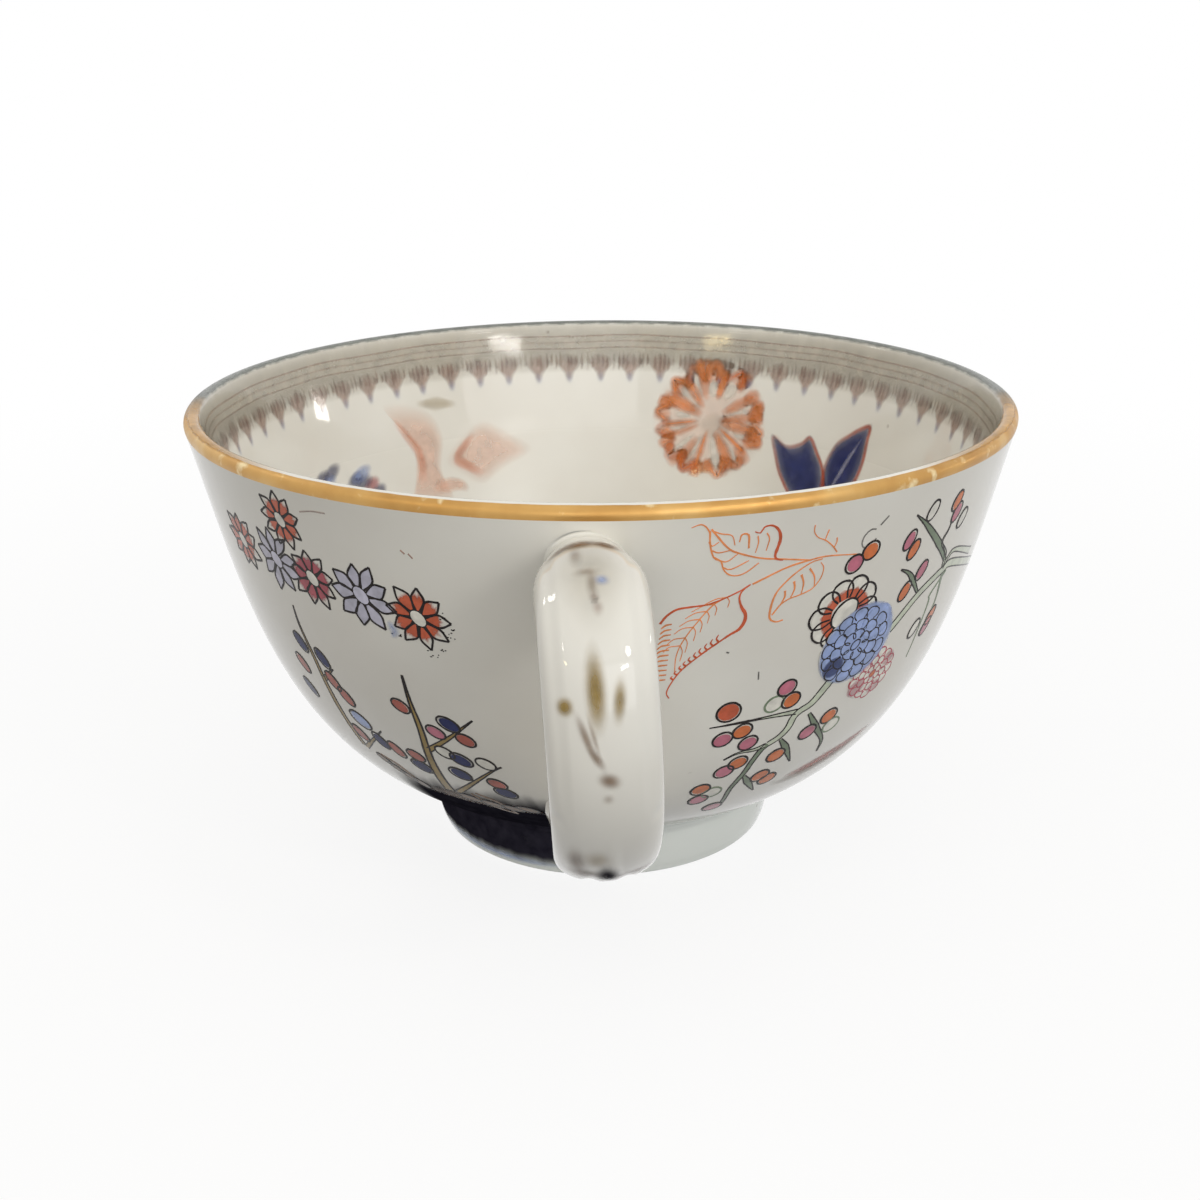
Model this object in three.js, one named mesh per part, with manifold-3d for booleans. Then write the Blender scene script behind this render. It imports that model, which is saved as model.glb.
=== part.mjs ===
// A porcelain teacup: a hemispherical bowl on a turned foot ring, with a gilt lip and a loop handle.
// Millimetres, +Z up. The foot stands on Z = 0 and the handle points towards -Y.
import * as THREE from "three";
import { mergeVertices } from "three/addons/utils/BufferGeometryUtils.js";
import Module from "manifold-3d";

const wasm = await Module();
wasm.setup();

const DEGREE = Math.PI / 180;

// Driving dimensions of the bowl
const CUP_HEIGHT = 54.8;
const RIM_RADIUS = 49.3;
const LIP_THICKNESS = 2.0;
const WALL_THICKNESS = 2.6;
const HEEL_THICKNESS = 4.4; // wall just above the foot ring
const FLOOR_THICKNESS = 3.0;
const FLOOR_DOME = 0.5; // rise of the floor's underside inside the foot ring
const FLOOR_SEAT = 1.8; // flat margin of that underside, next to the foot ring
const UNDERSIDE_SLOPE = 20.3 * DEGREE; // the outside leaves the foot this far above level
const UNDERSIDE_PULL = 20.2; // how far that slope is followed before the side turns up
const RIM_FLARE = 14.8 * DEGREE; // the wall at the lip leans this far from upright
const RIM_PULL = 18.3;

// Driving dimensions of the foot ring
const FOOT_HEIGHT = 7.6;
const FOOT_TOP_RADIUS = 22.8;
const FOOT_BASE_RADIUS = 20.9;
const FOOT_BASE_WIDTH = 2.4; // flat ring that the cup stands on, with its rounded edges
const FOOT_INSIDE_LEAN = 0.7; // the ring's inside draws in this much from base to top
const FOOT_EDGE_ROUND = 0.5;
const FOOT_BEAD_HEIGHT = 1.2; // plain bead under the bowl
const FOOT_BEAD_DEPTH = 0.45;

// Driving dimensions of the gilding
const GILT_SKIN = 0.25;
const GILT_DROP = 1.5; // from the top of the lip to the band's lower edge outside
const GILT_INSIDE_ANGLE = 100 * DEGREE; // how far over the lip's round the band goes

// Driving dimensions of the handle
const HANDLE_WIDTH = 10.4;
const HANDLE_THICKNESS = 6.2;
const HANDLE_REACH = 18.3; // outer face past the lip's outside
const HANDLE_TOP_DROP = 6.5; // top joint's centre below the lip
const HANDLE_BELLY_DROP = 17.3; // outermost point below the lip
const HANDLE_FOOT_RISE = 16.2; // bottom joint's centre above the table
const HANDLE_TOP_SLOPE = 18 * DEGREE; // the handle leaves the wall rising
const HANDLE_FOOT_SLOPE = 4 * DEGREE; // and comes back to it nearly level, hooked up a little
const TOP_PULL = 12;
const SHOULDER_PULL = 9;
const BELLY_PULL = 13;
const FOOT_PULL = 12;
const TOP_NARROWING = 3.2; // the handle's width at its upper seat is less by this
const TOP_NARROWING_LENGTH = 9.5;
const HANDLE_LEAN = 3 * DEGREE; // the top stands towards -X, as the maker set it
const HANDLE_TURN = 3.5 * DEGREE; // and both ends are set a little to that side of the belly
const SECTION_SQUARENESS = 2.1; // 2 is an ellipse, more is boxier

// Slip joints between handle and wall
const JOINT_LENGTH = 3.6;
const JOINT_FLARE = 0.5;
const SEAT_GAP = 0.3;

// Counts
const ROUND_STEPS = 60;
const WALL_STEPS = 13;
const LIP_STEPS = 4;
const FLOOR_STEPS = 4;
const SECTION_STEPS = 24;
const RINGS_ABOVE_BELLY = 10;
const RINGS_BELOW_BELLY = 12;
const JOINT_RINGS = 4;
const HALVINGS = 50; // of the span in which a height is looked for
const MERGE_DISTANCE = 1e-4;

const porcelain = new THREE.MeshStandardMaterial({ color: 0xe4e1d6, roughness: 0.18, metalness: 0 });
const slip = new THREE.MeshStandardMaterial({ color: 0xdedacd, roughness: 0.2, metalness: 0 });
const gilding = new THREE.MeshStandardMaterial({ color: 0xd8ae6c, roughness: 0.35, metalness: 0.8 });

// Curves of the bowl, as (distance from the axis, height)
const lipRadius = LIP_THICKNESS / 2;
const lipCentre = new THREE.Vector2(RIM_RADIUS - lipRadius, CUP_HEIGHT - lipRadius);

function lipPoint(radius, angle) {
  return new THREE.Vector2(lipCentre.x + radius * Math.cos(angle), lipCentre.y + radius * Math.sin(angle));
}

const footEdge = new THREE.Vector2(FOOT_TOP_RADIUS, FOOT_HEIGHT);
const shoulder = lipPoint(lipRadius, -RIM_FLARE);
const outside = new THREE.CubicBezierCurve(
  footEdge,
  new THREE.Vector2(
    footEdge.x + UNDERSIDE_PULL * Math.cos(UNDERSIDE_SLOPE),
    footEdge.y + UNDERSIDE_PULL * Math.sin(UNDERSIDE_SLOPE)
  ),
  new THREE.Vector2(
    shoulder.x - RIM_PULL * Math.sin(RIM_FLARE),
    shoulder.y - RIM_PULL * Math.cos(RIM_FLARE)
  ),
  shoulder
);

// Unit vector into the wall, square to the outside
function inwardAt(t) {
  const along = outside.getTangent(t);
  return new THREE.Vector2(-along.y, along.x);
}

function wallThicknessAt(t) {
  const heel = (HEEL_THICKNESS - WALL_THICKNESS) * (1 - t) ** 4;
  const lip = (LIP_THICKNESS - WALL_THICKNESS) * t ** 4;
  return WALL_THICKNESS + heel + lip;
}

function offsetFromOutside(t, depth) {
  return outside.getPoint(t).addScaledVector(inwardAt(t), depth);
}

// The place on the outside at a height above the table
function outsideAtHeight(height) {
  let low = 0;
  let high = 1;
  for (let i = 0; i < HALVINGS; i++) {
    const middle = (low + high) / 2;
    if (outside.getPoint(middle).y < height) low = middle;
    else high = middle;
  }
  return (low + high) / 2;
}

// The lip's round from the wall's flare to the gilt band's inner edge, with points at its widest
// and at its top
function giltRound(radius) {
  const points = [lipPoint(radius, -RIM_FLARE)];
  for (let i = 0; i <= LIP_STEPS; i++) points.push(lipPoint(radius, ((Math.PI / 2) * i) / LIP_STEPS));
  points.push(lipPoint(radius, GILT_INSIDE_ANGLE));
  return points;
}

function lipInside() {
  const points = [];
  const span = Math.PI - RIM_FLARE - GILT_INSIDE_ANGLE;
  for (let i = 0; i <= LIP_STEPS; i++) {
    points.push(lipPoint(lipRadius, GILT_INSIDE_ANGLE + (span * i) / LIP_STEPS));
  }
  return points;
}

// A closed profile turned about Z; its points run anticlockwise, with the distance from the axis first
function turned(profile) {
  const geometry = new THREE.LatheGeometry(profile, ROUND_STEPS);
  geometry.rotateX(Math.PI / 2);
  return geometry;
}

// The gilt band's edges, shared with the seat that the bowl gives it
const giltEnd = outsideAtHeight(CUP_HEIGHT - GILT_DROP);
const giltFace = [outside.getPoint(giltEnd), ...giltRound(lipRadius)];
const giltSeat = [offsetFromOutside(giltEnd, GILT_SKIN), ...giltRound(lipRadius - GILT_SKIN)];

function bowlGeometry() {
  const floorTop = FOOT_HEIGHT + FLOOR_THICKNESS;
  const profile = [new THREE.Vector2(0, FOOT_HEIGHT + FLOOR_DOME)];
  profile.push(new THREE.Vector2(footInsideRadius(FOOT_HEIGHT) - FLOOR_SEAT, FOOT_HEIGHT));
  for (let i = 0; i < WALL_STEPS; i++) profile.push(outside.getPoint((giltEnd * i) / WALL_STEPS));
  profile.push(giltFace[0], ...giltSeat);
  profile.push(...lipInside());
  for (let i = WALL_STEPS - 1; i >= 0; i--) {
    const t = i / WALL_STEPS;
    profile.push(offsetFromOutside(t, wallThicknessAt(t)));
  }
  const heel = profile[profile.length - 1];
  const bend = new THREE.Vector2(heel.x - (heel.y - floorTop) / Math.tan(UNDERSIDE_SLOPE), floorTop);
  const floor = new THREE.QuadraticBezierCurve(heel, bend, new THREE.Vector2(0, floorTop));
  for (let i = 1; i <= FLOOR_STEPS; i++) profile.push(floor.getPoint(i / FLOOR_STEPS));
  return turned(profile);
}

function rimGildingGeometry() {
  return turned([...giltFace, ...giltSeat.toReversed(), giltFace[0]]);
}

function footInsideRadius(height) {
  return FOOT_BASE_RADIUS - FOOT_BASE_WIDTH - (FOOT_INSIDE_LEAN * height) / FOOT_HEIGHT;
}

function footOutsideRadius(height) {
  return FOOT_BASE_RADIUS + ((FOOT_TOP_RADIUS - FOOT_BASE_RADIUS) * height) / FOOT_HEIGHT;
}

// A straight-sided ring with rounded lower edges and a bead under the bowl
function footRingGeometry() {
  const round = FOOT_EDGE_ROUND;
  const halfWay = round * (1 - Math.SQRT1_2);
  const beadFoot = FOOT_HEIGHT - FOOT_BEAD_HEIGHT;
  const profile = [
    new THREE.Vector2(footInsideRadius(0) + round, 0),
    new THREE.Vector2(footOutsideRadius(0) - round, 0),
    new THREE.Vector2(footOutsideRadius(0) - halfWay, halfWay),
    new THREE.Vector2(footOutsideRadius(round), round),
    new THREE.Vector2(footOutsideRadius(beadFoot) - FOOT_BEAD_DEPTH, beadFoot - FOOT_BEAD_DEPTH),
    new THREE.Vector2(footOutsideRadius(beadFoot) - FOOT_BEAD_DEPTH, beadFoot),
    new THREE.Vector2(footOutsideRadius(beadFoot), beadFoot + FOOT_BEAD_DEPTH),
    new THREE.Vector2(FOOT_TOP_RADIUS, FOOT_HEIGHT),
    new THREE.Vector2(footInsideRadius(FOOT_HEIGHT), FOOT_HEIGHT),
    new THREE.Vector2(footInsideRadius(round), round),
  ];
  profile.push(profile[0]);
  return turned(profile);
}

// Centre line of the handle, in the plane of the axis
const topSeat = outsideAtHeight(CUP_HEIGHT - HANDLE_TOP_DROP);
const footSeat = outsideAtHeight(HANDLE_FOOT_RISE);
const topJoin = outside.getPoint(topSeat);
const footJoin = outside.getPoint(footSeat);
const belly = new THREE.Vector2(
  RIM_RADIUS + HANDLE_REACH - HANDLE_THICKNESS / 2,
  CUP_HEIGHT - HANDLE_BELLY_DROP
);
const centreLine = new THREE.CurvePath();
centreLine.add(
  new THREE.CubicBezierCurve(
    topJoin,
    new THREE.Vector2(
      topJoin.x + TOP_PULL * Math.cos(HANDLE_TOP_SLOPE),
      topJoin.y + TOP_PULL * Math.sin(HANDLE_TOP_SLOPE)
    ),
    new THREE.Vector2(belly.x, belly.y + SHOULDER_PULL),
    belly
  )
);
centreLine.add(
  new THREE.CubicBezierCurve(
    belly,
    new THREE.Vector2(belly.x, belly.y - BELLY_PULL),
    new THREE.Vector2(
      footJoin.x + FOOT_PULL * Math.cos(HANDLE_FOOT_SLOPE),
      footJoin.y - FOOT_PULL * Math.sin(HANDLE_FOOT_SLOPE)
    ),
    footJoin
  )
);
const lineLength = centreLine.getLength();

// Turns a point of the handle about its belly, to the lean and the turn that it was set with
function leaned(across, out, up) {
  const rise = up - belly.y;
  const reach = out - belly.x;
  const side = across * Math.cos(HANDLE_LEAN) - rise * Math.sin(HANDLE_LEAN);
  return new THREE.Vector3(
    side * Math.cos(HANDLE_TURN) + reach * Math.sin(HANDLE_TURN),
    side * Math.sin(HANDLE_TURN) - reach * Math.cos(HANDLE_TURN) - belly.x,
    belly.y + rise * Math.cos(HANDLE_LEAN) + across * Math.sin(HANDLE_LEAN)
  );
}

// The handle's cross-section as a ring of points, at a distance along its centre line. It narrows
// towards the upper seat. Within a joint it widens, and its slant turns from square to the line to
// flat on the wall.
function sectionAt(distance) {
  const place = centreLine.getPointAt(distance / lineLength);
  const along = centreLine.getTangentAt(distance / lineLength);
  const toEnd = Math.min(distance, lineLength - distance);
  const nearness = Math.max(0, 1 - toEnd / JOINT_LENGTH) ** 2;
  const towardsTop = Math.max(0, 1 - distance / TOP_NARROWING_LENGTH);
  const narrowing = (TOP_NARROWING / 2) * towardsTop ** 2 * (3 - 2 * towardsTop);
  const halfWidth = HANDLE_WIDTH / 2 - narrowing + JOINT_FLARE * nearness;
  const halfThickness = HANDLE_THICKNESS / 2 + JOINT_FLARE * nearness;
  const square = new THREE.Vector2(-along.y, along.x);
  const flat = outside.getTangent(distance < lineLength / 2 ? topSeat : footSeat);
  flat.divideScalar(flat.dot(square));
  const outward = square.lerp(flat, nearness).multiplyScalar(halfThickness);
  const power = 2 / SECTION_SQUARENESS;
  const ring = [];
  for (let i = 0; i < SECTION_STEPS; i++) {
    const angle = (2 * Math.PI * i) / SECTION_STEPS;
    const across = halfWidth * Math.sign(Math.cos(angle)) * Math.abs(Math.cos(angle)) ** power;
    const share = Math.sign(Math.sin(angle)) * Math.abs(Math.sin(angle)) ** power;
    ring.push(leaned(across, place.x + share * outward.x, place.y + share * outward.y));
  }
  return ring;
}

// A ring carried on into the wall, so that the wall cuts it to fit
function carriedIn(ring, seat, depth) {
  const inward = inwardAt(seat);
  return ring.map((point) => point.clone().add(new THREE.Vector3(0, -inward.x * depth, inward.y * depth)));
}

// A closed skin over rings of equal count, with a fan at each end
function lofted(rings) {
  const count = rings[0].length;
  const positions = rings.flat().flatMap((point) => [point.x, point.y, point.z]);
  const index = [];
  for (let r = 0; r < rings.length - 1; r++) {
    for (let i = 0; i < count; i++) {
      const a = r * count + i;
      const b = r * count + ((i + 1) % count);
      index.push(a, b, a + count, b, b + count, a + count);
    }
  }
  for (const end of [0, rings.length - 1]) {
    const middle = new THREE.Vector3();
    for (const point of rings[end]) middle.addScaledVector(point, 1 / count);
    const hub = positions.length / 3;
    positions.push(middle.x, middle.y, middle.z);
    for (let i = 0; i < count; i++) {
      const a = end * count + i;
      const b = end * count + ((i + 1) % count);
      if (end === 0) index.push(hub, b, a);
      else index.push(hub, a, b);
    }
  }
  const geometry = new THREE.BufferGeometry();
  geometry.setAttribute("position", new THREE.Float32BufferAttribute(positions, 3));
  geometry.setIndex(index);
  geometry.computeVertexNormals();
  return geometry;
}

function toSolid(geometry) {
  const bare = geometry.clone();
  bare.deleteAttribute("normal");
  bare.deleteAttribute("uv");
  const merged = mergeVertices(bare, MERGE_DISTANCE);
  const triangles = [];
  for (let i = 0; i < merged.index.count; i += 3) {
    const [a, b, c] = [0, 1, 2].map((corner) => merged.index.getX(i + corner));
    if (a !== b && b !== c && c !== a) triangles.push(a, b, c);
  }
  const vertProperties = Float32Array.from(merged.attributes.position.array);
  const triVerts = Uint32Array.from(triangles);
  return new wasm.Manifold(new wasm.Mesh({ numProp: 3, vertProperties, triVerts }));
}

function toGeometry(solid) {
  const mesh = solid.getMesh();
  const geometry = new THREE.BufferGeometry();
  geometry.setAttribute("position", new THREE.BufferAttribute(mesh.vertProperties, 3));
  geometry.setIndex(new THREE.BufferAttribute(mesh.triVerts, 1));
  geometry.computeVertexNormals();
  return geometry;
}

function handleGeometry() {
  const toBelly = centreLine.curves[0].getLength();
  const above = toBelly - JOINT_LENGTH;
  const below = lineLength - JOINT_LENGTH - toBelly;
  const rings = [];
  for (let i = 0; i < RINGS_ABOVE_BELLY; i++) {
    rings.push(sectionAt(JOINT_LENGTH + (above * i) / RINGS_ABOVE_BELLY));
  }
  for (let i = 0; i <= RINGS_BELOW_BELLY; i++) {
    rings.push(sectionAt(toBelly + (below * i) / RINGS_BELOW_BELLY));
  }
  return lofted(rings);
}

// The whole body inside the bowl's outside and a little more, which trims the joints to the wall.
// It goes on past the lip, so that nothing of a joint is left above it.
function wallCutter() {
  const top = CUP_HEIGHT + HANDLE_THICKNESS;
  const profile = [new THREE.Vector2(0, footEdge.y - SEAT_GAP)];
  for (let i = 0; i <= WALL_STEPS; i++) profile.push(offsetFromOutside(i / WALL_STEPS, -SEAT_GAP));
  profile.push(new THREE.Vector2(RIM_RADIUS + SEAT_GAP, CUP_HEIGHT));
  profile.push(new THREE.Vector2(RIM_RADIUS + SEAT_GAP, top));
  profile.push(new THREE.Vector2(0, top));
  return toSolid(turned(profile));
}

// One flared collar of slip, from the wall to the handle's end
function jointGeometry(atTop) {
  const seat = atTop ? topSeat : footSeat;
  const reachIn = HANDLE_THICKNESS / 2;
  const rings = [];
  for (let i = 0; i <= JOINT_RINGS; i++) {
    const fromWall = (JOINT_LENGTH * i) / JOINT_RINGS;
    rings.push(sectionAt(atTop ? fromWall : lineLength - fromWall));
  }
  rings.unshift(carriedIn(rings[0], seat, reachIn));
  if (!atTop) rings.reverse();
  return toGeometry(toSolid(lofted(rings)).subtract(wallCutter()));
}

// The cup's axis stands behind the middle of the box that the cup fills, because of the handle
const boxMiddle = HANDLE_REACH / 2;

const cup = new THREE.Group();
cup.position.set(0, boxMiddle, 0);

function addPiece(name, geometry, material) {
  const mesh = new THREE.Mesh(geometry, material);
  mesh.name = name;
  cup.add(mesh);
}

addPiece("bowl", bowlGeometry(), porcelain);
addPiece("foot_ring", footRingGeometry(), porcelain);
addPiece("handle", handleGeometry(), porcelain);
addPiece("upper_handle_joint", jointGeometry(true), slip);
addPiece("lower_handle_joint", jointGeometry(false), slip);
addPiece("rim_gilding", rimGildingGeometry(), gilding);

const teacup = new THREE.Group();
teacup.add(cup);

export default teacup;
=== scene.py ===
# The looks of a painted porcelain teacup: its glazed body, gilding and enamels.
# Lengths are millimetres until a mesh is made. The cup stands on Z = 0 and its handle points
# towards -Y. A place on the cup is (around, drop): degrees round the axis, from the handle
# towards +X, and millimetres along the surface from the top of the lip.
import math
import random

import bpy
import numpy as np
from mathutils import Euler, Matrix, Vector


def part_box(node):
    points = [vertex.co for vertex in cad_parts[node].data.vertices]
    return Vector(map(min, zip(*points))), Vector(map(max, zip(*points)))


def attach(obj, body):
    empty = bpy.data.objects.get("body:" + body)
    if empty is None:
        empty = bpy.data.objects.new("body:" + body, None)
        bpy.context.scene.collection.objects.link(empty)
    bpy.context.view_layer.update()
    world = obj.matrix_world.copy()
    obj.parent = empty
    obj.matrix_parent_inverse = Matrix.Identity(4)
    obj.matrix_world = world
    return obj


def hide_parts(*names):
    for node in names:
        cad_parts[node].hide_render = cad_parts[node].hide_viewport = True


MM = 0.001
DEGREE = math.pi / 180

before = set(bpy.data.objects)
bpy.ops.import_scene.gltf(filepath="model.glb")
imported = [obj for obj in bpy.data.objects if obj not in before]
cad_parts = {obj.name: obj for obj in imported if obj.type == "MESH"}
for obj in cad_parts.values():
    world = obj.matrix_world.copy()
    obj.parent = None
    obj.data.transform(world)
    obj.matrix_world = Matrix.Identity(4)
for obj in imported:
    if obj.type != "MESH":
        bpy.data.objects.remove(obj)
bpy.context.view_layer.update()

# Driving sizes, from the frame
rim_low, rim_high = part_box("rim_gilding")
foot_low, foot_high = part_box("foot_ring")
AXIS_Y = (rim_low.y + rim_high.y) / 2 / MM
CUP_HEIGHT = rim_high.z / MM
RIM_RADIUS = (rim_high.x - rim_low.x) / 2 / MM
GILT_DROP = (rim_high.z - rim_low.z) / MM
FOOT_TOP_RADIUS = (foot_high.x - foot_low.x) / 2 / MM
FOOT_HEIGHT = foot_high.z / MM

# The bowl's curves, as the frame has them
LIP_THICKNESS = 2.0
WALL_THICKNESS = 2.6
HEEL_THICKNESS = 4.4
FLOOR_THICKNESS = 3.0
FLOOR_DOME = 0.5
UNDERSIDE_SLOPE = 20.3 * DEGREE
UNDERSIDE_PULL = 20.2
RIM_FLARE = 14.8 * DEGREE
RIM_PULL = 18.3
GILT_SKIN = 0.25
GILT_INSIDE_ANGLE = 100 * DEGREE

FOOT_BASE_RADIUS = 20.9
FOOT_BASE_WIDTH = 2.4
FOOT_INSIDE_LEAN = 0.7
FOOT_EDGE_ROUND = 0.5
FOOT_BEAD_HEIGHT = 1.2
FOOT_BEAD_DEPTH = 0.45

# The handle's curves, as the frame has them
HANDLE_WIDTH = 10.4
HANDLE_THICKNESS = 6.2
HANDLE_REACH = 18.3
HANDLE_TOP_DROP = 6.5
HANDLE_BELLY_DROP = 17.3
HANDLE_FOOT_RISE = 16.2
HANDLE_TOP_SLOPE = 18 * DEGREE
HANDLE_FOOT_SLOPE = 4 * DEGREE
TOP_PULL = 12
SHOULDER_PULL = 9
BELLY_PULL = 13
FOOT_PULL = 12
TOP_NARROWING = 3.2
TOP_NARROWING_LENGTH = 9.5
HANDLE_LEAN = 3 * DEGREE
HANDLE_TURN = 3.5 * DEGREE
SECTION_SQUARENESS = 2.1
JOINT_LENGTH = 3.6
JOINT_FLARE = 0.5

# The handle's clay is this much thinner on each face than the frame's, to leave room for its marks
MARKS_ROOM = 0.09

# Moulding on the handle's outer face: a groove along each side, a notch where it ends, a ridge and
# two grooves that part the foot into lobes. Widths are half-widths, and AT is off the middle line.
EDGE_BAND_START = 3
EDGE_BAND_END = 31
EDGE_BAND_FADE = 4
EDGE_GROOVE_AT = 3.9
EDGE_GROOVE_WIDTH = 0.9
EDGE_GROOVE_DEPTH = 0.16
NOTCH_WIDTH = 1.6
NOTCH_LENGTH = 1.3
NOTCH_DEPTH = 0.5
LOBES_START = 40
LOBES_FADE = 7
LOBE_GROOVE_AT = 1.8
LOBE_GROOVE_WIDTH = 1.1
LOBE_GROOVE_DEPTH = 0.35
RIDGE_AT = 0.3
RIDGE_MIDDLE = 38
RIDGE_WIDTH = 1.0
RIDGE_LENGTH = 7
RIDGE_HEIGHT = 0.18


def clamped(value):
    return np.clip(value, 0, 1)


def between(value, start, start_fade, end, end_fade):
    """1 from start to end but for a fade inside each, and 0 outside them."""
    return clamped((value - start) / start_fade) * clamped((end - value) / end_fade)


def heading(angle):
    """The point or points of a unit circle at an angle."""
    return np.stack([np.cos(angle), np.sin(angle)], -1)


def run_along(points):
    """How far along a line each of its points lies."""
    return np.r_[0, np.cumsum(np.hypot(*np.diff(points, axis=0).T))]


# Curves of the bowl as (radius, height), and what is worked out from them. The lip leaves a little
# room above it for the films that lie on it.
LIP_RADIUS = LIP_THICKNESS / 2
LIP_FILM_ROOM = 0.012
LIP_CENTRE = np.array([RIM_RADIUS - LIP_RADIUS, CUP_HEIGHT - LIP_RADIUS - LIP_FILM_ROOM])


def cubic(a, b, c, d, t):
    """Points of a cubic curve, given by its four knots."""
    t = np.asarray(t, float)[..., None]
    return a * (1 - t) ** 3 + 3 * b * t * (1 - t) ** 2 + 3 * c * t * t * (1 - t) + d * t ** 3


def cubic_slope(a, b, c, d, t):
    """The curve's direction, of unit length."""
    t = np.asarray(t, float)[..., None]
    slope = (b - a) * (1 - t) ** 2 + 2 * (c - b) * t * (1 - t) + (d - c) * t * t
    return slope / np.linalg.norm(slope, axis=-1, keepdims=True)


def lip_arc(radius, start, end, steps):
    return LIP_CENTRE + radius * heading(np.linspace(start, end, steps))


def side_knots():
    """The knots of the bowl's outer side, from the foot up to the lip."""
    foot = np.array([FOOT_TOP_RADIUS, FOOT_HEIGHT])
    shoulder = LIP_CENTRE + LIP_RADIUS * heading(-RIM_FLARE)
    out = UNDERSIDE_PULL * heading(UNDERSIDE_SLOPE)
    down = RIM_PULL * heading(RIM_FLARE)[::-1]
    return foot, foot + out, shoulder - down, shoulder


SIDE = side_knots()
SEARCH_STEPS = 2001


def inward(t):
    """The direction from the outer side into the wall."""
    slope = cubic_slope(*SIDE, t)
    return np.stack([-slope[..., 1], slope[..., 0]], -1)


def inside_point(t):
    t = np.asarray(t, float)
    heel = (HEEL_THICKNESS - WALL_THICKNESS) * (1 - t) ** 4
    lip = (LIP_THICKNESS - WALL_THICKNESS) * t ** 4
    return cubic(*SIDE, t) + inward(t) * (WALL_THICKNESS + heel + lip)[..., None]


def outside_parameter(height):
    """How far up the outer side's curve a height lies, from 0 to 1."""
    t = np.linspace(0, 1, SEARCH_STEPS)
    return float(np.interp(height, cubic(*SIDE, t)[:, 1], t))


def floor_curve(steps):
    """The inside of the cup from the wall's heel to the axis."""
    floor_top = FOOT_HEIGHT + FLOOR_THICKNESS
    heel = inside_point(0)
    bend = np.array([heel[0] - (heel[1] - floor_top) / math.tan(UNDERSIDE_SLOPE), floor_top])
    q = np.linspace(0, 1, steps + 1)[1:, None]
    return heel * (1 - q) ** 2 + 2 * bend * q * (1 - q) + np.array([0, floor_top]) * q * q


class Skin:
    """A surface of revolution. outward is 1 where its profile runs anticlockwise round the clay."""

    def __init__(self, profile, outward):
        self.profile = profile
        self.drops = run_along(profile)
        slope = np.gradient(profile, self.drops, axis=0)
        self.normals = np.stack([slope[:, 1], -slope[:, 0]], -1) * outward
        self.outward = outward

    def place(self, around, drop, lift):
        around = np.asarray(around, float) * DEGREE
        radius, height, out, rise = (
            np.interp(drop, self.drops, column)
            for column in (*self.profile.T, *self.normals.T)
        )
        size = np.hypot(out, rise)
        radius = radius + lift * out / size
        height = height + lift * rise / size
        return np.stack([radius * np.sin(around), AXIS_Y - radius * np.cos(around), height], -1)

    def radius_at(self, drop):
        return np.interp(drop, self.drops, self.profile[:, 0])


# How finely the skins are stepped
WALL_STEPS = 900
ROUND_OVER_STEPS = 40
LIP_STEPS = 90
FLOOR_STEPS = 200

WALL_T = np.linspace(1, 0, WALL_STEPS)
LIP_TOP = math.pi / 2
LIP_OUTER_END = -RIM_FLARE
LIP_INNER_END = math.pi - RIM_FLARE
outer_round = lip_arc(LIP_RADIUS, LIP_TOP, LIP_OUTER_END, ROUND_OVER_STEPS)
inner_round = lip_arc(LIP_RADIUS, LIP_TOP, LIP_INNER_END, ROUND_OVER_STEPS)
OUTSIDE = Skin(np.vstack([outer_round, cubic(*SIDE, WALL_T)[1:]]), -1)
LIP = Skin(lip_arc(LIP_RADIUS, LIP_OUTER_END, LIP_INNER_END, LIP_STEPS), 1)
INSIDE = Skin(np.vstack([inner_round, inside_point(WALL_T)[1:], floor_curve(FLOOR_STEPS)]), 1)

# Meshes of what is turned about the axis
ROUND_STEPS = 360
ON_AXIS = 1e-6
SHARP_EDGE = 40 * DEGREE


def make_object(name, vertices, faces, material, smooth=True):
    mesh = bpy.data.meshes.new(name)
    mesh.from_pydata([tuple(float(x) * MM for x in v) for v in vertices], [], faces)
    mesh.validate()
    mesh.materials.append(material)
    if smooth:
        mesh.shade_smooth()
    mesh.update()
    piece = bpy.data.objects.new(name, mesh)
    bpy.context.scene.collection.objects.link(piece)
    return piece


def store(piece, name, values):
    """Keeps a number for each vertex on the mesh, where a material can read it."""
    attribute = piece.data.attributes.new(name, "FLOAT", "POINT")
    attribute.data.foreach_set("value", np.array(values, np.float32))


def turned(name, profile, material, used=None):
    """Turns a profile about the axis. It starts and ends on the axis, or is closed on itself. used,
    where given, says for each point of the profile how far use has dulled the glaze."""
    starts_on_axis = profile[0][0] < ON_AXIS
    vertices, rows, points = [], [], []
    for k, (radius, height) in enumerate(profile):
        if starts_on_axis and radius < ON_AXIS:
            rows.append([len(vertices)] * ROUND_STEPS)
            vertices.append((0, AXIS_Y, height))
            points.append(k)
            continue
        rows.append(list(range(len(vertices), len(vertices) + ROUND_STEPS)))
        points.extend([k] * ROUND_STEPS)
        for i in range(ROUND_STEPS):
            angle = 2 * math.pi * i / ROUND_STEPS
            vertices.append((radius * math.sin(angle), AXIS_Y - radius * math.cos(angle), height))
    if not starts_on_axis:
        rows.append(rows[0])
    faces = []
    for low, high in zip(rows, rows[1:]):
        for i in range(ROUND_STEPS):
            j = (i + 1) % ROUND_STEPS
            corners = [low[i], low[j], high[j], high[i]]
            faces.append([c for k, c in enumerate(corners) if c != corners[k - 1]])
    piece = make_object(name, vertices, faces, material)
    if used is not None:
        store(piece, "used", np.asarray(used)[points])
    piece.data.set_sharp_from_angle(angle=SHARP_EDGE)
    return piece


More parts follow.
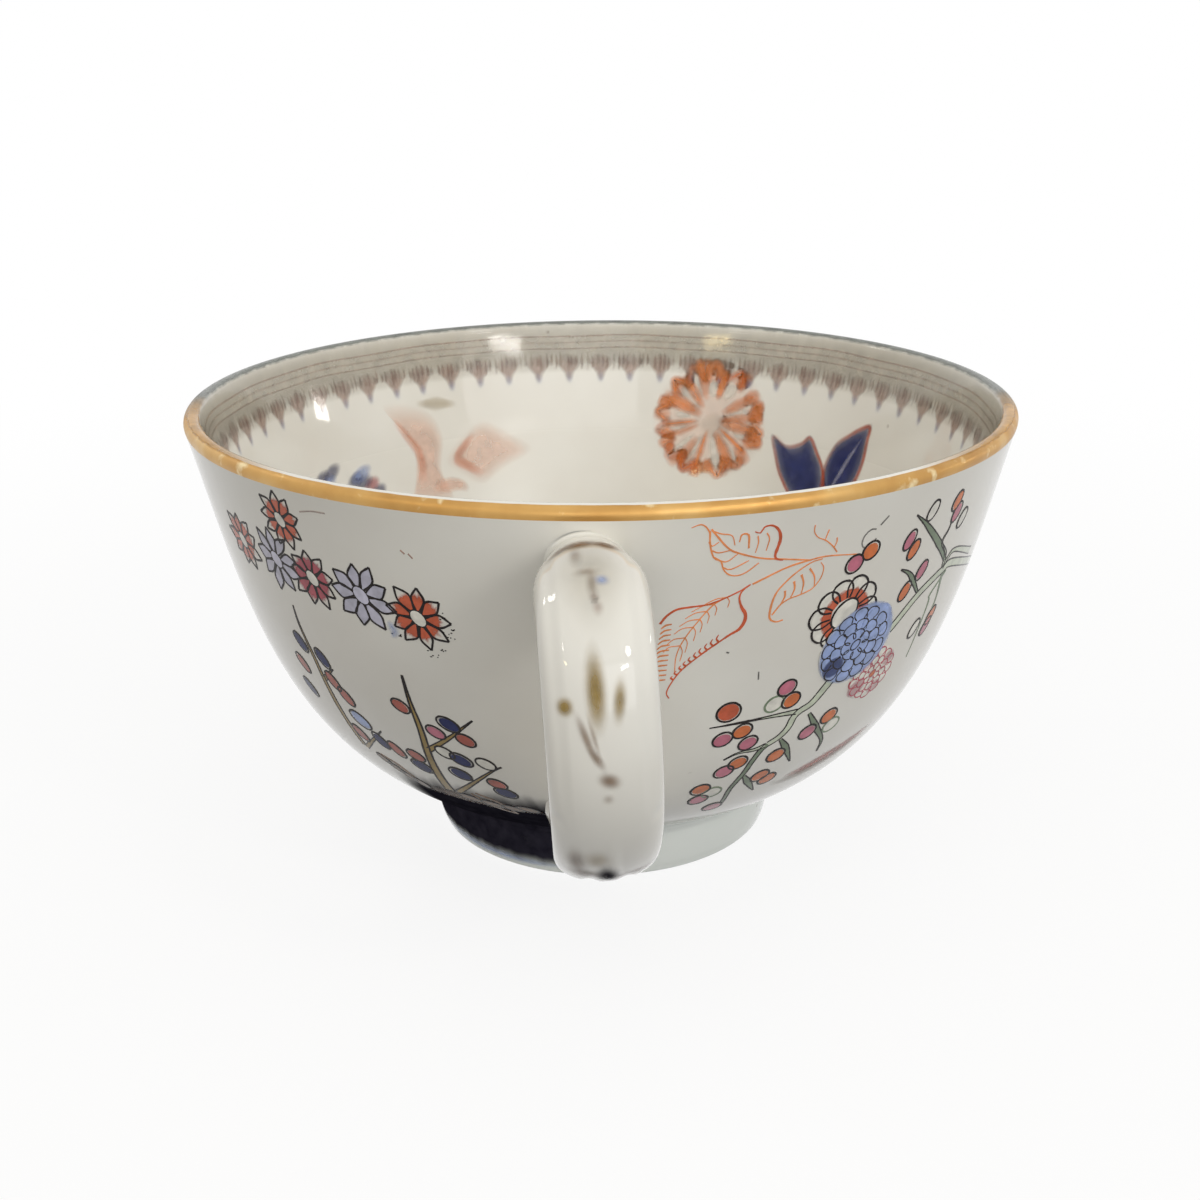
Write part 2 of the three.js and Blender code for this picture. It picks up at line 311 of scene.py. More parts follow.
def foot_inside_radius(height):
    return FOOT_BASE_RADIUS - FOOT_BASE_WIDTH - FOOT_INSIDE_LEAN * height / FOOT_HEIGHT


def foot_outside_radius(height):
    return FOOT_BASE_RADIUS + (FOOT_TOP_RADIUS - FOOT_BASE_RADIUS) * height / FOOT_HEIGHT


# The handle is a loop of cross-sections. A place on it is (along, angle): millimetres along its
# centre line from the upper seat, and the angle round the section, a quarter turn at the outer face.
BELLY_HEIGHT = CUP_HEIGHT - HANDLE_BELLY_DROP
BELLY_REACH = RIM_RADIUS + HANDLE_REACH - HANDLE_THICKNESS / 2
HANDLE_LINE_STEPS = 1500

# How far to each side the line's direction and the skin's normals are read
HANDLE_LOOK = 0.05
NORMAL_STEP = 0.02


def centre_line():
    top_seat = cubic(*SIDE, outside_parameter(CUP_HEIGHT - HANDLE_TOP_DROP))
    foot_seat = cubic(*SIDE, outside_parameter(HANDLE_FOOT_RISE))
    belly = np.array([BELLY_REACH, BELLY_HEIGHT])
    rising = TOP_PULL * heading(HANDLE_TOP_SLOPE)
    hooked = FOOT_PULL * heading(-HANDLE_FOOT_SLOPE)
    t = np.linspace(0, 1, HANDLE_LINE_STEPS)
    upper = cubic(top_seat, top_seat + rising, belly + [0, SHOULDER_PULL], belly, t)
    lower = cubic(belly, belly - [0, BELLY_PULL], foot_seat + hooked, foot_seat, t)
    return np.vstack([upper, lower[1:]])


HANDLE_LINE = centre_line()
HANDLE_RUN = run_along(HANDLE_LINE)
HANDLE_LENGTH = HANDLE_RUN[-1]


def seat_slope(at_top):
    """The wall's direction where an end of the handle meets it."""
    height = CUP_HEIGHT - HANDLE_TOP_DROP if at_top else HANDLE_FOOT_RISE
    return cubic_slope(*SIDE, outside_parameter(height))


def bump(value, middle, half_width):
    """1 at the middle, falling smoothly to 0 a half-width away."""
    near = clamped(1 - np.abs((value - middle) / half_width))
    return near * near * (3 - 2 * near)


def handle_relief(along, across):
    """How far the moulding raises the outer face, in millimetres."""
    side = np.abs(across)
    band = between(along, EDGE_BAND_START, EDGE_BAND_FADE, EDGE_BAND_END, EDGE_BAND_FADE)
    groove = bump(side, EDGE_GROOVE_AT, EDGE_GROOVE_WIDTH) * band
    notch = bump(side, HANDLE_WIDTH / 2, NOTCH_WIDTH) * bump(along, EDGE_BAND_END, NOTCH_LENGTH)
    lobes = bump(side, LOBE_GROOVE_AT, LOBE_GROOVE_WIDTH) * clamped((along - LOBES_START) / LOBES_FADE)
    ridge = bump(across, RIDGE_AT, RIDGE_WIDTH) * bump(along, RIDGE_MIDDLE, RIDGE_LENGTH)
    sunk = EDGE_GROOVE_DEPTH * groove + NOTCH_DEPTH * notch + LOBE_GROOVE_DEPTH * lobes
    return RIDGE_HEIGHT * ridge - sunk


def line_point(along):
    return np.stack([np.interp(along, HANDLE_RUN, column) for column in HANDLE_LINE.T], -1)


def superellipse(value):
    return np.sign(value) * np.abs(value) ** (2 / SECTION_SQUARENESS)


def handle_points(along, angle):
    """Points of the handle's skin; along and angle are arrays of one shape."""
    along, angle = np.broadcast_arrays(np.asarray(along, float), np.asarray(angle, float))
    way = line_point(along + HANDLE_LOOK) - line_point(along - HANDLE_LOOK)
    way = way / np.linalg.norm(way, axis=-1, keepdims=True)
    square = np.stack([-way[..., 1], way[..., 0]], -1)
    to_end = np.minimum(along, HANDLE_LENGTH - along)
    nearness = clamped(1 - to_end / JOINT_LENGTH)[..., None] ** 2
    flat = np.where((along < HANDLE_LENGTH / 2)[..., None], seat_slope(True), seat_slope(False))
    flat = flat / (flat * square).sum(-1, keepdims=True)
    outward = square * (1 - nearness) + flat * nearness
    towards_top = clamped(1 - along / TOP_NARROWING_LENGTH)
    narrowing = TOP_NARROWING / 2 * towards_top ** 2 * (3 - 2 * towards_top)
    half_width = HANDLE_WIDTH / 2 - narrowing + JOINT_FLARE * nearness[..., 0]
    half_thickness = HANDLE_THICKNESS / 2 - MARKS_ROOM + JOINT_FLARE * nearness[..., 0]
    across = half_width * superellipse(np.cos(angle))
    share = superellipse(np.sin(angle))
    face = share * half_thickness + handle_relief(along, across) * clamped(share)
    section = line_point(along) + outward * face[..., None]
    rise = section[..., 1] - BELLY_HEIGHT
    reach = section[..., 0] - BELLY_REACH
    side = across * math.cos(HANDLE_LEAN) - rise * math.sin(HANDLE_LEAN)
    out = BELLY_REACH + reach * math.cos(HANDLE_TURN) - side * math.sin(HANDLE_TURN)
    return np.stack([
        side * math.cos(HANDLE_TURN) + reach * math.sin(HANDLE_TURN),
        AXIS_Y - out,
        BELLY_HEIGHT + rise * math.cos(HANDLE_LEAN) + across * math.sin(HANDLE_LEAN),
    ], -1)


def handle_normals(along, angle):
    forward = handle_points(along + NORMAL_STEP, angle) - handle_points(along - NORMAL_STEP, angle)
    round_it = handle_points(along, angle + NORMAL_STEP) - handle_points(along, angle - NORMAL_STEP)
    normal = np.cross(round_it, forward)
    return normal / np.linalg.norm(normal, axis=-1, keepdims=True)


SECTION_STEPS = 120
HANDLE_RING_GAP = 0.35
SEAT_DEPTH = 1.2


def lofted(name, rings, normals, material):
    """A closed skin over rings of equal count, with a fan at each end."""
    count = len(rings[0])
    vertices = list(np.vstack(rings))
    faces = []
    for r in range(len(rings) - 1):
        for i in range(count):
            a, b = r * count + i, r * count + (i + 1) % count
            faces.append((a, b, b + count, a + count))
    for r in (0, len(rings) - 1):
        hub = len(vertices)
        vertices.append(np.mean(rings[r], axis=0))
        for i in range(count):
            a, b = r * count + i, r * count + (i + 1) % count
            faces.append((hub, b, a) if r == 0 else (hub, a, b))
    piece = make_object(name, vertices, faces, material)
    ends = [rings[0][0] - rings[1][0], rings[-1][0] - rings[-2][0]]
    hubs = [end / np.linalg.norm(end) for end in ends]
    piece.data.normals_split_custom_set_from_vertices([tuple(n) for n in np.vstack([*normals, hubs])])
    return piece


def make_handle():
    angle = np.linspace(0, 2 * math.pi, SECTION_STEPS, endpoint=False)
    stretches = {
        "upper_joint_collar": ("upper_handle_joint", "slip", 0, JOINT_LENGTH),
        "handle_body": ("handle", "porcelain", JOINT_LENGTH, HANDLE_LENGTH - JOINT_LENGTH),
        "lower_joint_collar": ("lower_handle_joint", "slip", HANDLE_LENGTH - JOINT_LENGTH, HANDLE_LENGTH),
    }
    for name, (node, slot, start, end) in stretches.items():
        count = math.ceil((end - start) / HANDLE_RING_GAP)
        rings, normals = [], []
        for along in np.linspace(start, end, count + 1):
            inner = np.clip(along, HANDLE_LOOK, HANDLE_LENGTH - HANDLE_LOOK)
            rings.append(handle_points(np.full(SECTION_STEPS, along), angle))
            normals.append(handle_normals(np.full(SECTION_STEPS, inner), angle))
        for seat, at_top in ((0, True), (HANDLE_LENGTH, False)):
            if seat in (start, end):
                slope = seat_slope(at_top)
                into_wall = np.array([0, slope[1], slope[0]]) * SEAT_DEPTH
                last, after = (0, 0) if at_top else (-1, len(rings))
                rings.insert(after, rings[last] + into_wall)
                normals.insert(after, normals[last])
        piece = lofted(name, rings, normals, porcelain)
        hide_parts(node)
        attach(piece, "root")


# Enamels. Each colour is one piece made of thin closed films that lie on the glaze. A film's cover
# says how much of its colour shows, so that a film's soft edge fades into what it lies on.

# How high a film and a line stand on the glaze, how much higher each layer is, how much the films
# differ and how deep they reach into the glaze
FILM = 0.02
LINE_LIFT = 0.035
LAYER = 0.02
UNEVEN = 0.002
SUNK = 0.03

# How finely the films are stepped
FLOW_STEP = 0.35
PATCH_STEP = 0.5
WASH_STEP = 0.8
STRAIGHT_STEPS = 6
FILM_SHARP_EDGE = 30 * DEGREE

# How much a stroke's width varies, its least half-width, and how quickly its soft ends fade
SOFT_JITTER = 0.03
LINE_JITTER = 0.15
LEAST_HALF_WIDTH = 0.01
END_FADE = 5

# All that is uneven in the painting is drawn from here
hand = random.Random(5)
vary = hand.uniform


def flowing(points, closed=False):
    """A smooth curve through the points, in steps of about FLOW_STEP."""
    points = np.asarray(points, float)
    if closed:
        padded = np.vstack([points[-1:], points, points[:2]])
    else:
        padded = np.vstack([2 * points[0] - points[1], points, 2 * points[-1] - points[-2]])
    spans = []
    for a, b, c, d in zip(padded, padded[1:], padded[2:], padded[3:]):
        steps = max(2, math.ceil(np.linalg.norm(c - b) / FLOW_STEP))
        t = np.arange(steps)[:, None] / steps
        bend = (2 * a - 5 * b + 4 * c - d) * t ** 2 + (3 * b - a - 3 * c + d) * t ** 3
        spans.append(b + (c - a) / 2 * t + bend / 2)
    if not closed:
        spans.append(points[-1:])
    return np.vstack(spans)


def turned_by(points, angle):
    """Points of a sheet turned anticlockwise about its origin."""
    cosine, sine = heading(angle)
    return np.asarray(points, float) @ np.array([[cosine, sine], [-sine, cosine]])


class Sheet:
    """A sheet laid on a skin at (around, drop); x runs right and y up, in millimetres. Where radius
    is given, x is measured there, so that the sheet closes on itself right round."""

    def __init__(self, skin, around, drop, tilt=0.0, layer=0, stretch=(1, 1), radius=None):
        self.skin, self.around, self.drop, self.layer = skin, around, drop, layer
        self.tilt, self.stretch, self.radius = tilt, np.array(stretch, float), radius

    def place(self, points):
        """Where points of the sheet lie on the skin."""
        x, y = turned_by(np.asarray(points, float) * self.stretch, self.tilt).T
        drop = self.drop - y
        radius = self.radius or self.skin.radius_at(drop)
        return self.around - self.skin.outward * x / radius / DEGREE, drop

    def on(self, x, y, tilt=0.0, layer=0, stretch=(1, 1)):
        """A smaller sheet laid on this one."""
        around, drop = self.place((x, y))
        return Sheet(self.skin, float(around), float(drop), self.tilt + tilt, self.layer + layer, stretch)

    def above(self, layer):
        """The same place, lying higher, for what is painted over it."""
        return self.on(0, 0, layer=layer)

    def lay(self, points):
        """The skin's points under the sheet's, and its normals there."""
        around, drop = self.place(points)
        ground = self.skin.place(around, drop, 0)
        above = self.skin.place(around, drop, 1)
        return ground, above - ground


class Enamel:
    """All that is painted in one colour."""

    def __init__(self, name, material):
        self.name, self.material = name, material
        self.vertices, self.faces, self.cover = [], [], []

    def film(self, sheet, points, faces, rim, cover, lift=FILM):
        """A closed film: its faces above the skin and again below it, and a wall round the rim."""
        ground, normals = sheet.lay(points)
        base, count = len(self.vertices), len(points)
        height = lift + LAYER * sheet.layer + vary(0, UNEVEN)
        self.vertices.extend(ground + normals * height)
        self.vertices.extend(ground - normals * SUNK)
        self.cover.extend([*cover, *cover])
        under = base + count
        self.faces.extend(tuple(base + i for i in face) for face in faces)
        self.faces.extend(tuple(under + i for i in reversed(face)) for face in faces)
        self.faces.extend((base + a, under + a, under + b, base + b) for a, b in zip(rim, rim[1:] + rim[:1]))

    def stroke(self, sheet, points, widths, cover=1.0, soft="", aside=0.0, lift=LINE_LIFT):
        """A brush stroke, soft at its "sides" or at "all" its edges. Its widths are spread evenly
        along it, and so is how far aside it runs."""
        straight = len(points) == 2
        line = np.linspace(*np.asarray(points, float), STRAIGHT_STEPS) if straight else flowing(points)
        run = run_along(line)
        run /= run[-1]
        way = np.gradient(line, axis=0)
        left = np.stack([-way[:, 1], way[:, 0]], -1) / np.linalg.norm(way, axis=1, keepdims=True)

        def along(values):
            values = np.atleast_1d(values)
            return np.interp(run, np.linspace(0, 1, len(values)), values)[:, None]

        middle = line + left * along(aside)
        jitter = SOFT_JITTER if soft else LINE_JITTER
        half = along(widths) / 2 * [[vary(1 - jitter, 1 + jitter)] for _ in line] + LEAST_HALF_WIDTH
        count = len(line)
        across = 2 * math.ceil(half.max() / WASH_STEP) + 1 if soft else 2
        shares = np.linspace(1, -1, across)
        covers = cover * np.outer(1 - shares ** 2 if soft else np.ones(across), np.ones(count))
        if soft == "all":
            covers *= clamped(END_FADE * run * (1 - run))
        faces = [
            (r * count + i, (r + 1) * count + i, (r + 1) * count + i + 1, r * count + i + 1)
            for r in range(across - 1) for i in range(count - 1)
        ]
        last = across - 1
        rim = [
            *(r * count for r in range(last)), *(last * count + i for i in range(count - 1)),
            *(r * count + count - 1 for r in range(last, 0, -1)), *range(count - 1, 0, -1),
        ]
        points = np.vstack([middle + left * half * share for share in shares])
        self.film(sheet, points, faces, rim, covers.ravel(), lift)

    def wash(self, sheet, outline, middle=(0, 0), cover=None, levels=((0.5, 1), (1, 1))):
        """Fills an outline that can be seen whole from its middle. Each level is a share of the way
        out and the cover there; cover, where given, maps points to cover instead."""
        outline = np.asarray(outline, float)
        x, y = outline.T
        if np.sum(x * np.roll(y, -1) - np.roll(x, -1) * y) < 0:
            outline = outline[::-1]
        middle = np.asarray(middle, float)
        shares, amounts = zip(*levels)
        reach = np.hypot(*(outline - middle).T).max() * shares[-1]
        even = np.linspace(0, shares[-1], math.ceil(reach / WASH_STEP) + 1)[1:-1]
        rings = np.unique(np.round(np.r_[shares, even], 4))
        rings = rings[rings > 0]
        points = np.vstack([[middle]] + [middle + (outline - middle) * share for share in rings])
        count = len(outline)
        covers = np.interp(np.r_[0, np.repeat(rings, count)], shares, amounts)
        faces = [(0, 1 + i, 1 + (i + 1) % count) for i in range(count)]
        for r in range(len(rings) - 1):
            low, high = 1 + r * count, 1 + (r + 1) * count
            for i in range(count):
                j = (i + 1) % count
                faces.append((low + i, high + i, high + j, low + j))
        rim = list(range(len(points) - count, len(points)))
        self.film(sheet, points, faces, rim, covers if cover is None else cover(points))

    def patch(self, sheet, width, height, cover, row_step=PATCH_STEP):
        """A film over a stretch of the sheet, about its origin. cover maps x and y to cover."""
        columns, rows = math.ceil(width / PATCH_STEP), math.ceil(height / row_step)
        x, y = np.meshgrid(
            np.linspace(-width / 2, width / 2, columns + 1),
            np.linspace(-height / 2, height / 2, rows + 1),
        )
        place = np.arange(x.size).reshape(x.shape)
        faces = [
            (place[r, c], place[r, c + 1], place[r + 1, c + 1], place[r + 1, c])
            for r in range(rows) for c in range(columns)
        ]
        rim = [*place[0, :-1], *place[:-1, -1], *place[-1, :0:-1], *place[:0:-1, 0]]
        points = np.stack([x.ravel(), y.ravel()], -1)
        self.film(sheet, points, faces, rim, cover(x.ravel(), y.ravel()), FILM / 2)

    def finish(self):
        piece = make_object(self.name, self.vertices, self.faces, self.material)
        piece.data.set_sharp_from_angle(angle=FILM_SHARP_EDGE)
        store(piece, "cover", self.cover)
        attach(piece, "root")


def fading(start, end, middle=(0, 0)):
    """Full cover within start of the middle, none from end on."""
    def cover(points):
        return clamped((end - np.hypot(*(points - np.asarray(middle)).T)) / (end - start))
    return cover


def ellipse(long, short, tilt=0.0, count=28, middle=(0, 0)):
    angle = np.linspace(0, 2 * math.pi, count, endpoint=False)
    return turned_by(heading(angle) * (long, short), tilt) + middle


# Materials
def srgb(red, green, blue):
    """A colour as a screen shows it, 0 to 255, in the shader's own terms."""
    share = np.array([red, green, blue]) / 255
    return tuple(float(c) for c in np.where(share < 0.04, share / 12.92, ((share + 0.055) / 1.055) ** 2.4))


def grey(value):
    return (value, value, value)


GLAZE_GREY = srgb(222, 218, 208)
GLAZE_PALE = srgb(233, 231, 223)
GLAZE_SPECK = srgb(120, 105, 90)
# The foot's glaze, paler and cooler than the bowl's: painted light, standing in for the brighter light on the
# foot
FOOT_LIT_GREY = srgb(222, 228, 222)
FOOT_LIT_PALE = srgb(238, 242, 237)
GILT_DEEP = srgb(182, 134, 68)
GILT_OCHRE = srgb(204, 160, 93)
GILT_LIGHT = srgb(218, 184, 124)
GILT_RUBBED = srgb(240, 224, 180)
# Dark grey-green painted on the top of the lip behind, as painted shade of its far side
GILT_BACK_SHADE = srgb(104, 108, 100)

# Sizes of the materials' patterns, in patches per metre, and depths of their waves, in metres
GLAZE_CLOUDS = 38
GLAZE_SPECKS = 210
SPECKLED_PATCHES = 160
GLAZE_GLOSS = 90
GLAZE_WAVES = 110
GLAZE_WAVE_DEPTH = 0.00006
GILT_CLOUDS = 120
GILT_RUBBINGS = 420
GILT_GLOSS = 260
GILT_WAVES = 300
GILT_WAVE_DEPTH = 0.00008
ENAMEL_CLOUDS = 700
ENAMEL_BRUSHING = 500

# What an enamel's colour is multiplied by where it lies thick and where it lies thin
DEEPER = 0.8
LIGHTER = 1.15

# Gloss and wear
GLOSSY = 0.1
USED_ROUGHNESS = 0.35
GILT_METAL = 0.65
GILT_WEAR = 0.05
GILT_WEAR_WAVER = 0.1

# Behind, the gilding's top is worn off and painted dark grey-green, as painted shade of the lip's
# far side. It goes between these distances in front of the axis, and between these depths below
# the top of the lip.
WORN_SHADED_FRONT = 12
WORN_SHADED_BACK = 1
WORN_SHADED_DEEPEST = 0.8
WORN_SHADED_SHALLOWEST = 0.5


class Graph:
    """The nodes of a material or of the world. An input gets a number, a colour or an output."""

    def __init__(self, tree):
        self.nodes, self.links = tree.nodes, tree.links

    def give(self, socket, value):
        if isinstance(value, bpy.types.NodeSocket):
            self.links.new(value, socket)
        else:
            socket.default_value = (*value, 1) if isinstance(value, tuple) else value

    def add(self, kind, inputs, output=0, **settings):
        node = self.nodes.new(kind)
        for name, value in settings.items():
            setattr(node, name, value)
        for name, value in inputs.items():
            self.give(node.inputs[name], value)
        return node.outputs[output]

    def math(self, operation, first, second):
        return self.add("ShaderNodeMath", {0: first, 1: second}, operation=operation)

    def mixed(self, share, first, second):
        return self.add("ShaderNodeMix", {0: share, 6: first, 7: second}, 2, data_type="RGBA")

    def own_space(self):
        """A place in the piece's own space, in metres."""
        return self.add("ShaderNodeTexCoord", {}, "Object")

    def noise(self, scale, detail):
        """Clouds, at a scale in patches per metre."""
        inputs = {"Vector": self.own_space(), "Scale": scale, "Detail": detail}
        return self.add("ShaderNodeTexNoise", inputs, "Fac")

    def ranged(self, value, start, end, least=0, kind="LINEAR"):
        """From least at start, and before it, to 1 at end and past it."""
        inputs = {"Value": value, "From Min": start, "From Max": end, "To Min": least}
        return self.add("ShaderNodeMapRange", inputs, "Result", interpolation_type=kind)

    def ramp(self, source, *stops):
        node = self.nodes.new("ShaderNodeValToRGB")
        elements = node.color_ramp.elements
        while len(elements) < len(stops):
            elements.new(0.5)
        for element, (position, colour) in zip(elements, stops):
            element.position = position
            element.color = (*colour, 1)
        self.give(node.inputs["Fac"], source)
        return node.outputs["Color"]

    def waves(self, scale, depth):
        """Faint unevenness, scale in patches per metre and depth in metres."""
        return self.add("ShaderNodeBump", {"Distance": depth, "Height": self.noise(scale, 2)})

    def stored(self, name):
        return self.add("ShaderNodeAttribute", {}, "Fac", attribute_name=name)

    def seen_directly(self):
        """1 for rays that show the surface itself, in the picture, mirrored or through glass."""
        path = self.nodes.new("ShaderNodeLightPath").outputs
        seen = self.math("MAXIMUM", path["Is Camera Ray"], path["Is Glossy Ray"])
        return self.math("MAXIMUM", seen, path["Is Transmission Ray"])


def new_material(name, roughness=GLOSSY):
    """A material, its nodes and a function that gives the shader's inputs their values."""
    material = bpy.data.materials.new(name)
    material.use_nodes = True
    graph = Graph(material.node_tree)
    shader = graph.nodes["Principled BSDF"]

    def shade(values):
        for socket, value in values.items():
            graph.give(shader.inputs[socket], value)

    shade({"Roughness": roughness})
    return material, graph, shade


def porcelain_material(name, dull, pale):
    """White glaze with faint clouds, a few dark specks and less gloss where the piece is used."""
    material, graph, shade = new_material(name)
    tint = graph.ramp(graph.noise(GLAZE_CLOUDS, 4), (0.32, dull), (0.68, pale))
    place = {"Vector": graph.own_space(), "Scale": GLAZE_SPECKS}
    cells = graph.add("ShaderNodeTexVoronoi", place, "Distance")
    speck = graph.ramp(cells, (0.035, grey(0.7)), (0.075, grey(0)))
    speckled = graph.ramp(graph.noise(SPECKLED_PATCHES, 1), (0.6, grey(0)), (0.66, grey(1)))
    gloss = graph.ramp(graph.noise(GLAZE_GLOSS, 5), (0.35, grey(0.03)), (0.7, grey(0.08)))
    rubbed = graph.math("MULTIPLY", graph.stored("used"), USED_ROUGHNESS)
    shade({
        "Base Color": graph.mixed(graph.math("MULTIPLY", speck, speckled), tint, GLAZE_SPECK),
        "Roughness": graph.math("MAXIMUM", gloss, rubbed),
        "Normal": graph.waves(GLAZE_WAVES, GLAZE_WAVE_DEPTH),
    })
    return material


def gilding_material():
    """Matt ochre gold, rubbed pale in places, worn to the glaze at the very top of the lip, and worn
    off along the top of the lip behind, where it is painted dark grey-green as painted shade."""
    material, graph, shade = new_material("gilding")
    tint = graph.ramp(graph.noise(GILT_CLOUDS, 5), (0.3, GILT_DEEP), (0.55, GILT_OCHRE), (0.75, GILT_LIGHT))
    rubbed = graph.ramp(graph.noise(GILT_RUBBINGS, 4), (0.6, grey(0)), (0.72, grey(0.8)))
    tint = graph.mixed(rubbed, tint, GILT_RUBBED)
    axes = graph.nodes.new("ShaderNodeSeparateXYZ")
    graph.give(axes.inputs[0], graph.own_space())
    waver = graph.math("MULTIPLY", graph.noise(GILT_GLOSS, 4), GILT_WEAR_WAVER * MM)
    height = graph.math("ADD", axes.outputs["Z"], waver)
    thin = graph.ranged(height, (CUP_HEIGHT - GILT_WEAR) * MM, (CUP_HEIGHT - GILT_WEAR / 2) * MM)
    behind = graph.ranged(axes.outputs["Y"], (AXIS_Y - WORN_SHADED_FRONT) * MM, (AXIS_Y - WORN_SHADED_BACK) * MM)
    top = graph.ranged(
        axes.outputs["Z"], (CUP_HEIGHT - WORN_SHADED_DEEPEST) * MM, (CUP_HEIGHT - WORN_SHADED_SHALLOWEST) * MM
    )
    # The top of the lip behind: gilding worn off and coloured dark grey-green as painted shade
    worn_and_shaded = graph.math("MULTIPLY", behind, top)
    kept = graph.math("SUBTRACT", 1, graph.math("MAXIMUM", thin, worn_and_shaded))
    shade({
        "Base Color": graph.mixed(worn_and_shaded, graph.mixed(thin, tint, GLAZE_PALE), GILT_BACK_SHADE),
        "Metallic": graph.math("MULTIPLY", kept, GILT_METAL),
        "Roughness": graph.ramp(graph.noise(GILT_GLOSS, 5), (0.3, grey(0.3)), (0.7, grey(0.5))),
        "Normal": graph.waves(GILT_WAVES, GILT_WAVE_DEPTH),
    })
    return material


def enamel_material(name, colour, shine):
    """A brushed colour, thin where its cover is low."""
    material, graph, shade = new_material(name)
    deep = tuple(DEEPER * c for c in colour)
    light = tuple(min(1.0, LIGHTER * c + 0.01) for c in colour)
    brushed = graph.ramp(graph.noise(ENAMEL_BRUSHING, 3), (0.25, grey(0.92)), (0.5, grey(1)))
    shade({
        "Base Color": graph.ramp(graph.noise(ENAMEL_CLOUDS, 3), (0.3, deep), (0.7, light)),
        "Alpha": graph.math("MULTIPLY", graph.stored("cover"), brushed),
        "Specular IOR Level": shine,
    })
    return material


# The floor: its roughness, what it throws back, what shows of it, where it fades to plain white, in
# metres from the origin, and how white it is before that
FLOOR_ROUGHNESS = 0.9
FLOOR_BOUNCE = 0.9
FLOOR_SEEN = 0.95
FLOOR_FADE_START = 0.07
FLOOR_FADE_END = 0.3
FLOOR_LEAST_WHITE = 0.86


def floor_material():
    """Grey to the light that it throws back, white to the eye, and whiter away from the cup."""
    material, graph, shade = new_material("floor", FLOOR_ROUGHNESS)
    seen = graph.seen_directly()
    shade({"Base Color": graph.mixed(seen, grey(FLOOR_BOUNCE), grey(FLOOR_SEEN)), "Specular IOR Level": 0})
    far = graph.add("ShaderNodeVectorMath", {0: graph.own_space()}, "Value", operation="LENGTH")
    away = graph.ranged(far, FLOOR_FADE_START, FLOOR_FADE_END, FLOOR_LEAST_WHITE, "SMOOTHSTEP")
    white = graph.add("ShaderNodeEmission", {"Strength": seen})
    paper = graph.nodes["Principled BSDF"].outputs[0]
    shown = graph.add("ShaderNodeMixShader", {0: away, 1: paper, 2: white})
    graph.give(graph.nodes["Material Output"].inputs["Surface"], shown)
    return material


# The camera: how far from the cup's axis, how high above the table and how far it looks down
CAMERA_DISTANCE = 196
CAMERA_HEIGHT = 98.1
CAMERA_ASIDE = -0.25
CAMERA_PITCH = 19.71 * DEGREE
CAMERA_ROLL = 0.4 * DEGREE
LENS = 49.3
SENSOR_WIDTH = 36
CLIP_START = 0.01

WORLD_COLOUR = (1.0, 0.985, 0.96)
WORLD_STRENGTH = 0.67

# Area lamps aimed at the cup: degrees round from +Y towards +X, degrees above level, then in metres
# the distance, width and length, then radiance and colour. One with no length is round.
LAMPS = {
    "ceiling": (150, 66, 1.0, 1.3, 1.3, 0.24, (1.0, 0.985, 0.95)),
    "front": (162, 8, 1.4, 1.6, 1.0, 1.5, (0.98, 0.99, 1.0)),
    "spot_right": (147, 23.9, 0.9, 0.16, 0.035, 22.0, (1.0, 0.98, 0.93)),
    "spot_left": (73.7, 9.6, 0.9, 0.08, 0.03, 20.0, (1.0, 0.97, 0.9)),
    "spot_warm": (-139, 23.6, 0.9, 0.13, 0.03, 14.0, (1.0, 0.8, 0.4)),
    "lamp_right": (137, 33, 0.9, 0.12, 0, 20.0, (1.0, 0.98, 0.94)),
    "lamp_left": (-130, 32, 0.9, 0.1, 0, 9.0, (1.0, 0.96, 0.88)),
    "lamp_side": (-68, 36, 0.9, 0.1, 0, 9.0, (1.0, 0.96, 0.88)),
}


def make_camera():
    data = bpy.data.cameras.new("camera")
    data.lens = LENS
    data.sensor_width = SENSOR_WIDTH
    data.clip_start = CLIP_START
    camera = bpy.data.objects.new("camera", data)
    camera.location = Vector((CAMERA_ASIDE, AXIS_Y - CAMERA_DISTANCE, CAMERA_HEIGHT)) * MM
    level = Euler((math.pi / 2 - CAMERA_PITCH, 0, 0)).to_matrix()
    rolled = Euler((0, 0, -CAMERA_ROLL)).to_matrix()
    camera.rotation_euler = (level @ rolled).to_euler()
    bpy.context.scene.collection.objects.link(camera)
    bpy.context.scene.camera = camera


def make_lamp(name, around, up, distance, width, length, radiance, colour):
    data = bpy.data.lights.new(name, "AREA")
    data.shape = "RECTANGLE" if length else "DISK"
    data.size = width
    area = math.pi * width * width / 4
    if length:
        data.size_y = length
        area = width * length
    data.energy = radiance * math.pi * area
    data.color = colour
    lamp = bpy.data.objects.new(name, data)
    out, rise = heading(up * DEGREE)
    ahead, aside = heading(around * DEGREE)
    towards = Vector((aside * out, ahead * out, rise))
    lamp.location = Vector((0, AXIS_Y * MM, CUP_HEIGHT / 2 * MM)) + towards * distance
    lamp.rotation_euler = towards.to_track_quat("Z", "Y").to_euler()
    bpy.context.scene.collection.objects.link(lamp)


def make_world():
    """Plain white to the eye, and dimmer as light."""
    world = bpy.data.worlds.new("studio")
    world.use_nodes = True
    world.node_tree.nodes.clear()
    graph = Graph(world.node_tree)
    dim = graph.add("ShaderNodeBackground", {"Color": WORLD_COLOUR, "Strength": WORLD_STRENGTH})
    white = graph.add("ShaderNodeBackground", {"Color": grey(1), "Strength": 1})
    shown = graph.add("ShaderNodeMixShader", {0: graph.seen_directly(), 1: dim, 2: white})
    graph.give(graph.nodes.new("ShaderNodeOutputWorld").inputs[0], shown)
    bpy.context.scene.world = world


